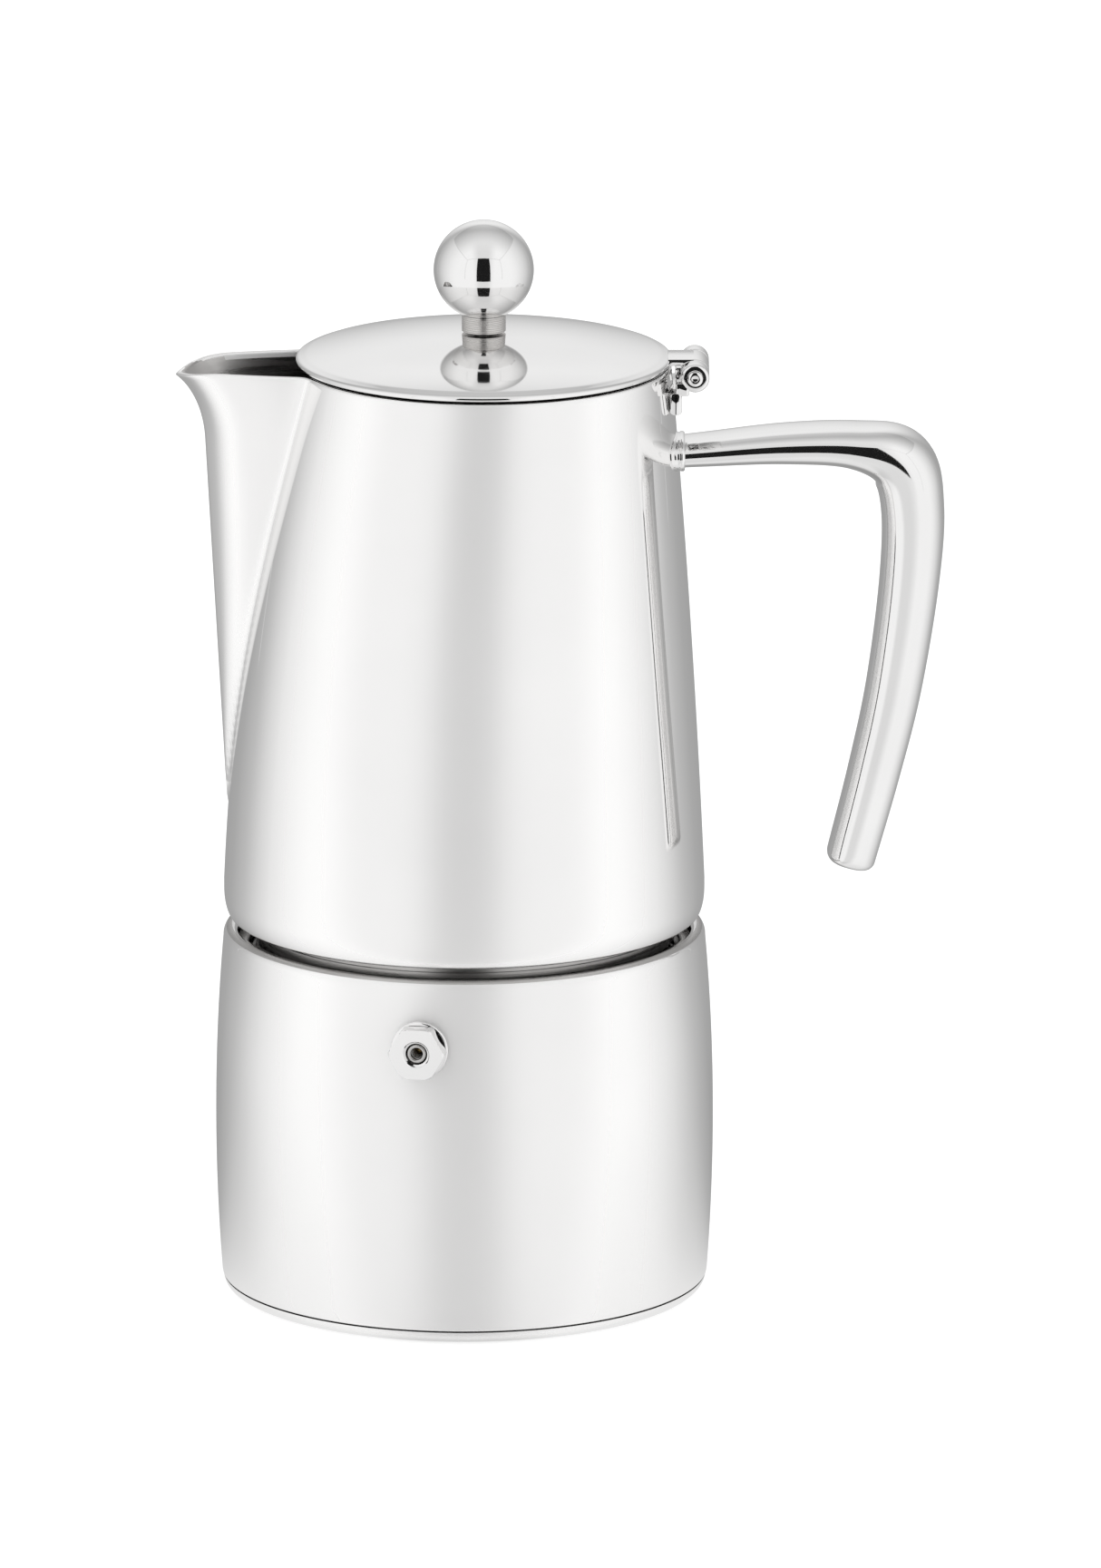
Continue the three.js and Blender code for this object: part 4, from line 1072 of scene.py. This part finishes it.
def build_camera():
    data = bpy.data.cameras.new("camera")
    data.sensor_fit = "HORIZONTAL"
    data.sensor_width = 36
    data.lens = data.sensor_width * CAMERA_DISTANCE / FRAME_WIDTH
    data.clip_end = 50
    camera = bpy.data.objects.new("camera", data)
    bpy.context.scene.collection.objects.link(camera)
    back = Vector((0, -math.cos(CAMERA_ELEVATION), math.sin(CAMERA_ELEVATION)))
    camera.location = AIM + back * CAMERA_DISTANCE
    camera.rotation_euler = (-back).to_track_quat("-Z", "Y").to_euler()
    bpy.context.scene.camera = camera


def emitter(name):
    """An emission material and its node tree, with nothing on its strength yet."""
    material = bpy.data.materials.new(name)
    material.use_nodes = True
    nodes = material.node_tree.nodes
    nodes.clear()
    emission = nodes.new("ShaderNodeEmission")
    output = nodes.new("ShaderNodeOutputMaterial")
    material.node_tree.links.new(emission.outputs[0], output.inputs[0])
    return material, nodes, emission


def glow(name, strength):
    material, _, emission = emitter(name)
    emission.inputs["Strength"].default_value = strength
    return material


# Shade of the tent's cloth by direction, from in front of the pot (0) to behind it (1).
TENT_SHADES = [(0, 1.0), (0.3, 1.0), (0.4, 0.96), (0.5, 0.88), (0.6, 0.79), (0.7, 0.67), (0.8, 0.52),
               (0.9, 0.41), (1, 0.36)]
ROOF_SHADES = [(0, 1.0), (0.3, 1.0), (0.4, 0.9), (0.5, 0.76), (0.6, 0.63), (0.7, 0.5), (0.8, 0.4),
               (0.9, 0.35), (1, 0.32)]
TENT_HALF_WIDTH = 0.7
TENT_FRONT = -0.75
TENT_BACK = 0.65
TENT_HEIGHT = 0.8
SLIT_HALF_WIDTH = 0.21
SEAM_HALF_WIDTH = 0.006
TENT_FLOOR = -0.0004
TENT_MIDDLE = (0, 0, 0.35)
SLIT_STRENGTH = 0.012
SEAM_STRENGTH = 0.62
FLOOR_SIZE = 6
FLOOR_HEIGHT = -0.0002
SKY_STRENGTH = 1.15
# From where to where the cloth dims, and the value at each: beside the slit, by the
# direction's X and Y, and beneath the pot, by the distance from its origin in metres, where the dimming is a
# painted shadow of the pot.
SLIT_DIMMING = (0.12, 0.42, 0.2, 0)
SLIT_SIDE = (-0.5, 0, 1, 0)
# The darkening of the paper beneath the pot is a painted shadow of the pot, seen only in reflections.
POT_SHADOW_PAINTED = (0.05, 0.3, 0.85, 1)
BACK_LIGHT = (0, TENT_BACK, 0.5)  # middle of the lit patch behind the pot
BACK_LIGHT_SIZE = (0.1, 0.5)  # radii where it starts to fade and where it ends
BACK_LIGHT_STRENGTH = 0.5


def tent_cloth(name, shades):
    """Lit cloth, bright in front of the pot and to its sides, and dimmer behind it but for
    a lit patch. The paper dims towards the slit, and beneath the pot it carries a painted
    shadow of the pot."""
    material, nodes, emission = emitter(name)
    tree = material.node_tree
    links = tree.links

    def vector(operation, source, point=(0, 0, 0)):
        node = nodes.new("ShaderNodeVectorMath")
        node.operation = operation
        node.inputs[1].default_value = point
        links.new(source, node.inputs[0])
        return node.outputs["Value" if operation == "DISTANCE" else "Vector"]

    def combine(operation, *sources):
        node = nodes.new("ShaderNodeMath")
        node.operation = operation
        for socket, source in zip(node.inputs, sources):
            if isinstance(source, int):
                socket.default_value = source
            else:
                links.new(source, socket)
        return node.outputs["Value"]

    position = nodes.new("ShaderNodeNewGeometry").outputs["Position"]
    split = nodes.new("ShaderNodeSeparateXYZ")
    links.new(vector("NORMALIZE", vector("SUBTRACT", position, (0, 0, 0.02))), split.inputs[0])
    ramp = nodes.new("ShaderNodeValToRGB")
    stops = ramp.color_ramp.elements
    stops.remove(stops[1])
    stops[0].position, stops[0].color = 0, (1, 1, 1, 1)
    for place, shade in shades[1:]:
        stops.new(place).color = (shade, shade, shade, 1)
    links.new(ranged(tree, split.outputs["Y"], -1, 1, 0, 1, eased=False), ramp.inputs["Fac"])
    beside_slit = ranged(tree, combine("ABSOLUTE", split.outputs["X"]), *SLIT_DIMMING)
    in_front = ranged(tree, split.outputs["Y"], *SLIT_SIDE)
    dim = combine("SUBTRACT", 1, combine("MULTIPLY", beside_slit, in_front))
    # Painted shadow of the pot: the paper is darkened near the pot's foot.
    painted_pot_shadow = ranged(tree, vector("DISTANCE", position), *POT_SHADOW_PAINTED)
    shade = combine("MULTIPLY", combine("MULTIPLY", ramp.outputs["Color"], dim), painted_pot_shadow)
    lit = ranged(tree, vector("DISTANCE", position, BACK_LIGHT), *BACK_LIGHT_SIZE, BACK_LIGHT_STRENGTH, 0)
    links.new(combine("ADD", shade, lit), emission.inputs["Strength"])
    return material


def sheet_of(name, quads, material):
    mesh = bpy.data.meshes.new(name)
    mesh.from_pydata([corner for quad in quads for corner in quad], [],
                     [tuple(range(4 * i, 4 * i + 4)) for i in range(len(quads))])
    obj = bpy.data.objects.new(name, mesh)
    bpy.context.scene.collection.objects.link(obj)
    mesh.materials.append(material)
    return obj


def only_mirrored(obj):
    """Shows a thing in reflections and nowhere else."""
    obj.visible_camera = False
    obj.visible_shadow = False
    obj.visible_diffuse = False
    obj.visible_transmission = False


def seam(start, end):
    """A thin upright quad or a thin level one between two points of the tent's frame."""
    along = (Vector(end) - Vector(start)).normalized()
    mid = (Vector(start) + Vector(end)) / 2
    inward = Vector(TENT_MIDDLE) - mid
    inward -= along * inward.dot(along)
    across = along.cross(inward).normalized() * SEAM_HALF_WIDTH
    shift = inward.normalized() * 0.01
    return [tuple(Vector(start) + shift - across), tuple(Vector(end) + shift - across),
            tuple(Vector(end) + shift + across), tuple(Vector(start) + shift + across)]


def build_tent():
    """A box of lit cloth round the pot, with an upright slit for the camera."""
    w, f, k, h = TENT_HALF_WIDTH, TENT_FRONT, TENT_BACK, TENT_HEIGHT
    low = TENT_FLOOR
    walls = [
        [(-w, f, low), (w, f, low), (w, f, h), (-w, f, h)],
        [(-w, k, low), (w, k, low), (w, k, h), (-w, k, h)],
        [(-w, f, low), (-w, k, low), (-w, k, h), (-w, f, h)],
        [(w, f, low), (w, k, low), (w, k, h), (w, f, h)],
        [(-w, f, low), (w, f, low), (w, k, low), (-w, k, low)],
    ]
    only_mirrored(sheet_of("tent", walls, tent_cloth("tent_cloth", TENT_SHADES)))
    roof = [[(-w, f, h), (w, f, h), (w, k, h), (-w, k, h)]]
    only_mirrored(sheet_of("tent_roof", roof, tent_cloth("tent_roof", ROOF_SHADES)))
    s, y = SLIT_HALF_WIDTH, f + 0.005
    slit = [[(-s, y, 0), (s, y, 0), (s, y, h - 0.01), (-s, y, h - 0.01)]]
    only_mirrored(sheet_of("tent_slit", slit, glow("tent_slit", SLIT_STRENGTH)))
    seams = []
    for side in (-1, 1):
        seams += [seam((side * w, f, 0), (side * w, f, h)), seam((side * w, k, 0), (side * w, k, h))]
        seams += [seam((side * w, f, h), (side * w, k, h))]
    seams += [seam((-w, f, h), (w, f, h)), seam((-w, k, h), (w, k, h))]
    only_mirrored(sheet_of("tent_seams", seams, glow("tent_seams", SEAM_STRENGTH)))


def build_studio():
    corners = ((-1, -1), (1, -1), (1, 1), (-1, 1))
    quad = [(x * FLOOR_SIZE, y * FLOOR_SIZE, FLOOR_HEIGHT) for x, y in corners]
    floor = sheet_of("floor", [quad], floor_paper())
    floor.visible_glossy = False
    build_tent()
    world = bpy.data.worlds.new("studio")
    world.use_nodes = True
    background = world.node_tree.nodes["Background"]
    background.inputs["Color"].default_value = (1, 1, 1, 1)
    background.inputs["Strength"].default_value = SKY_STRENGTH
    bpy.context.scene.world = world
    settings = bpy.context.scene.view_settings
    settings.view_transform = "Standard"
    settings.look = "None"


build_camera()
build_boiler()
build_valve()
build_brew_parts()
build_jug()
build_handle()
build_hinge()
build_lid()
build_knob()
build_studio()
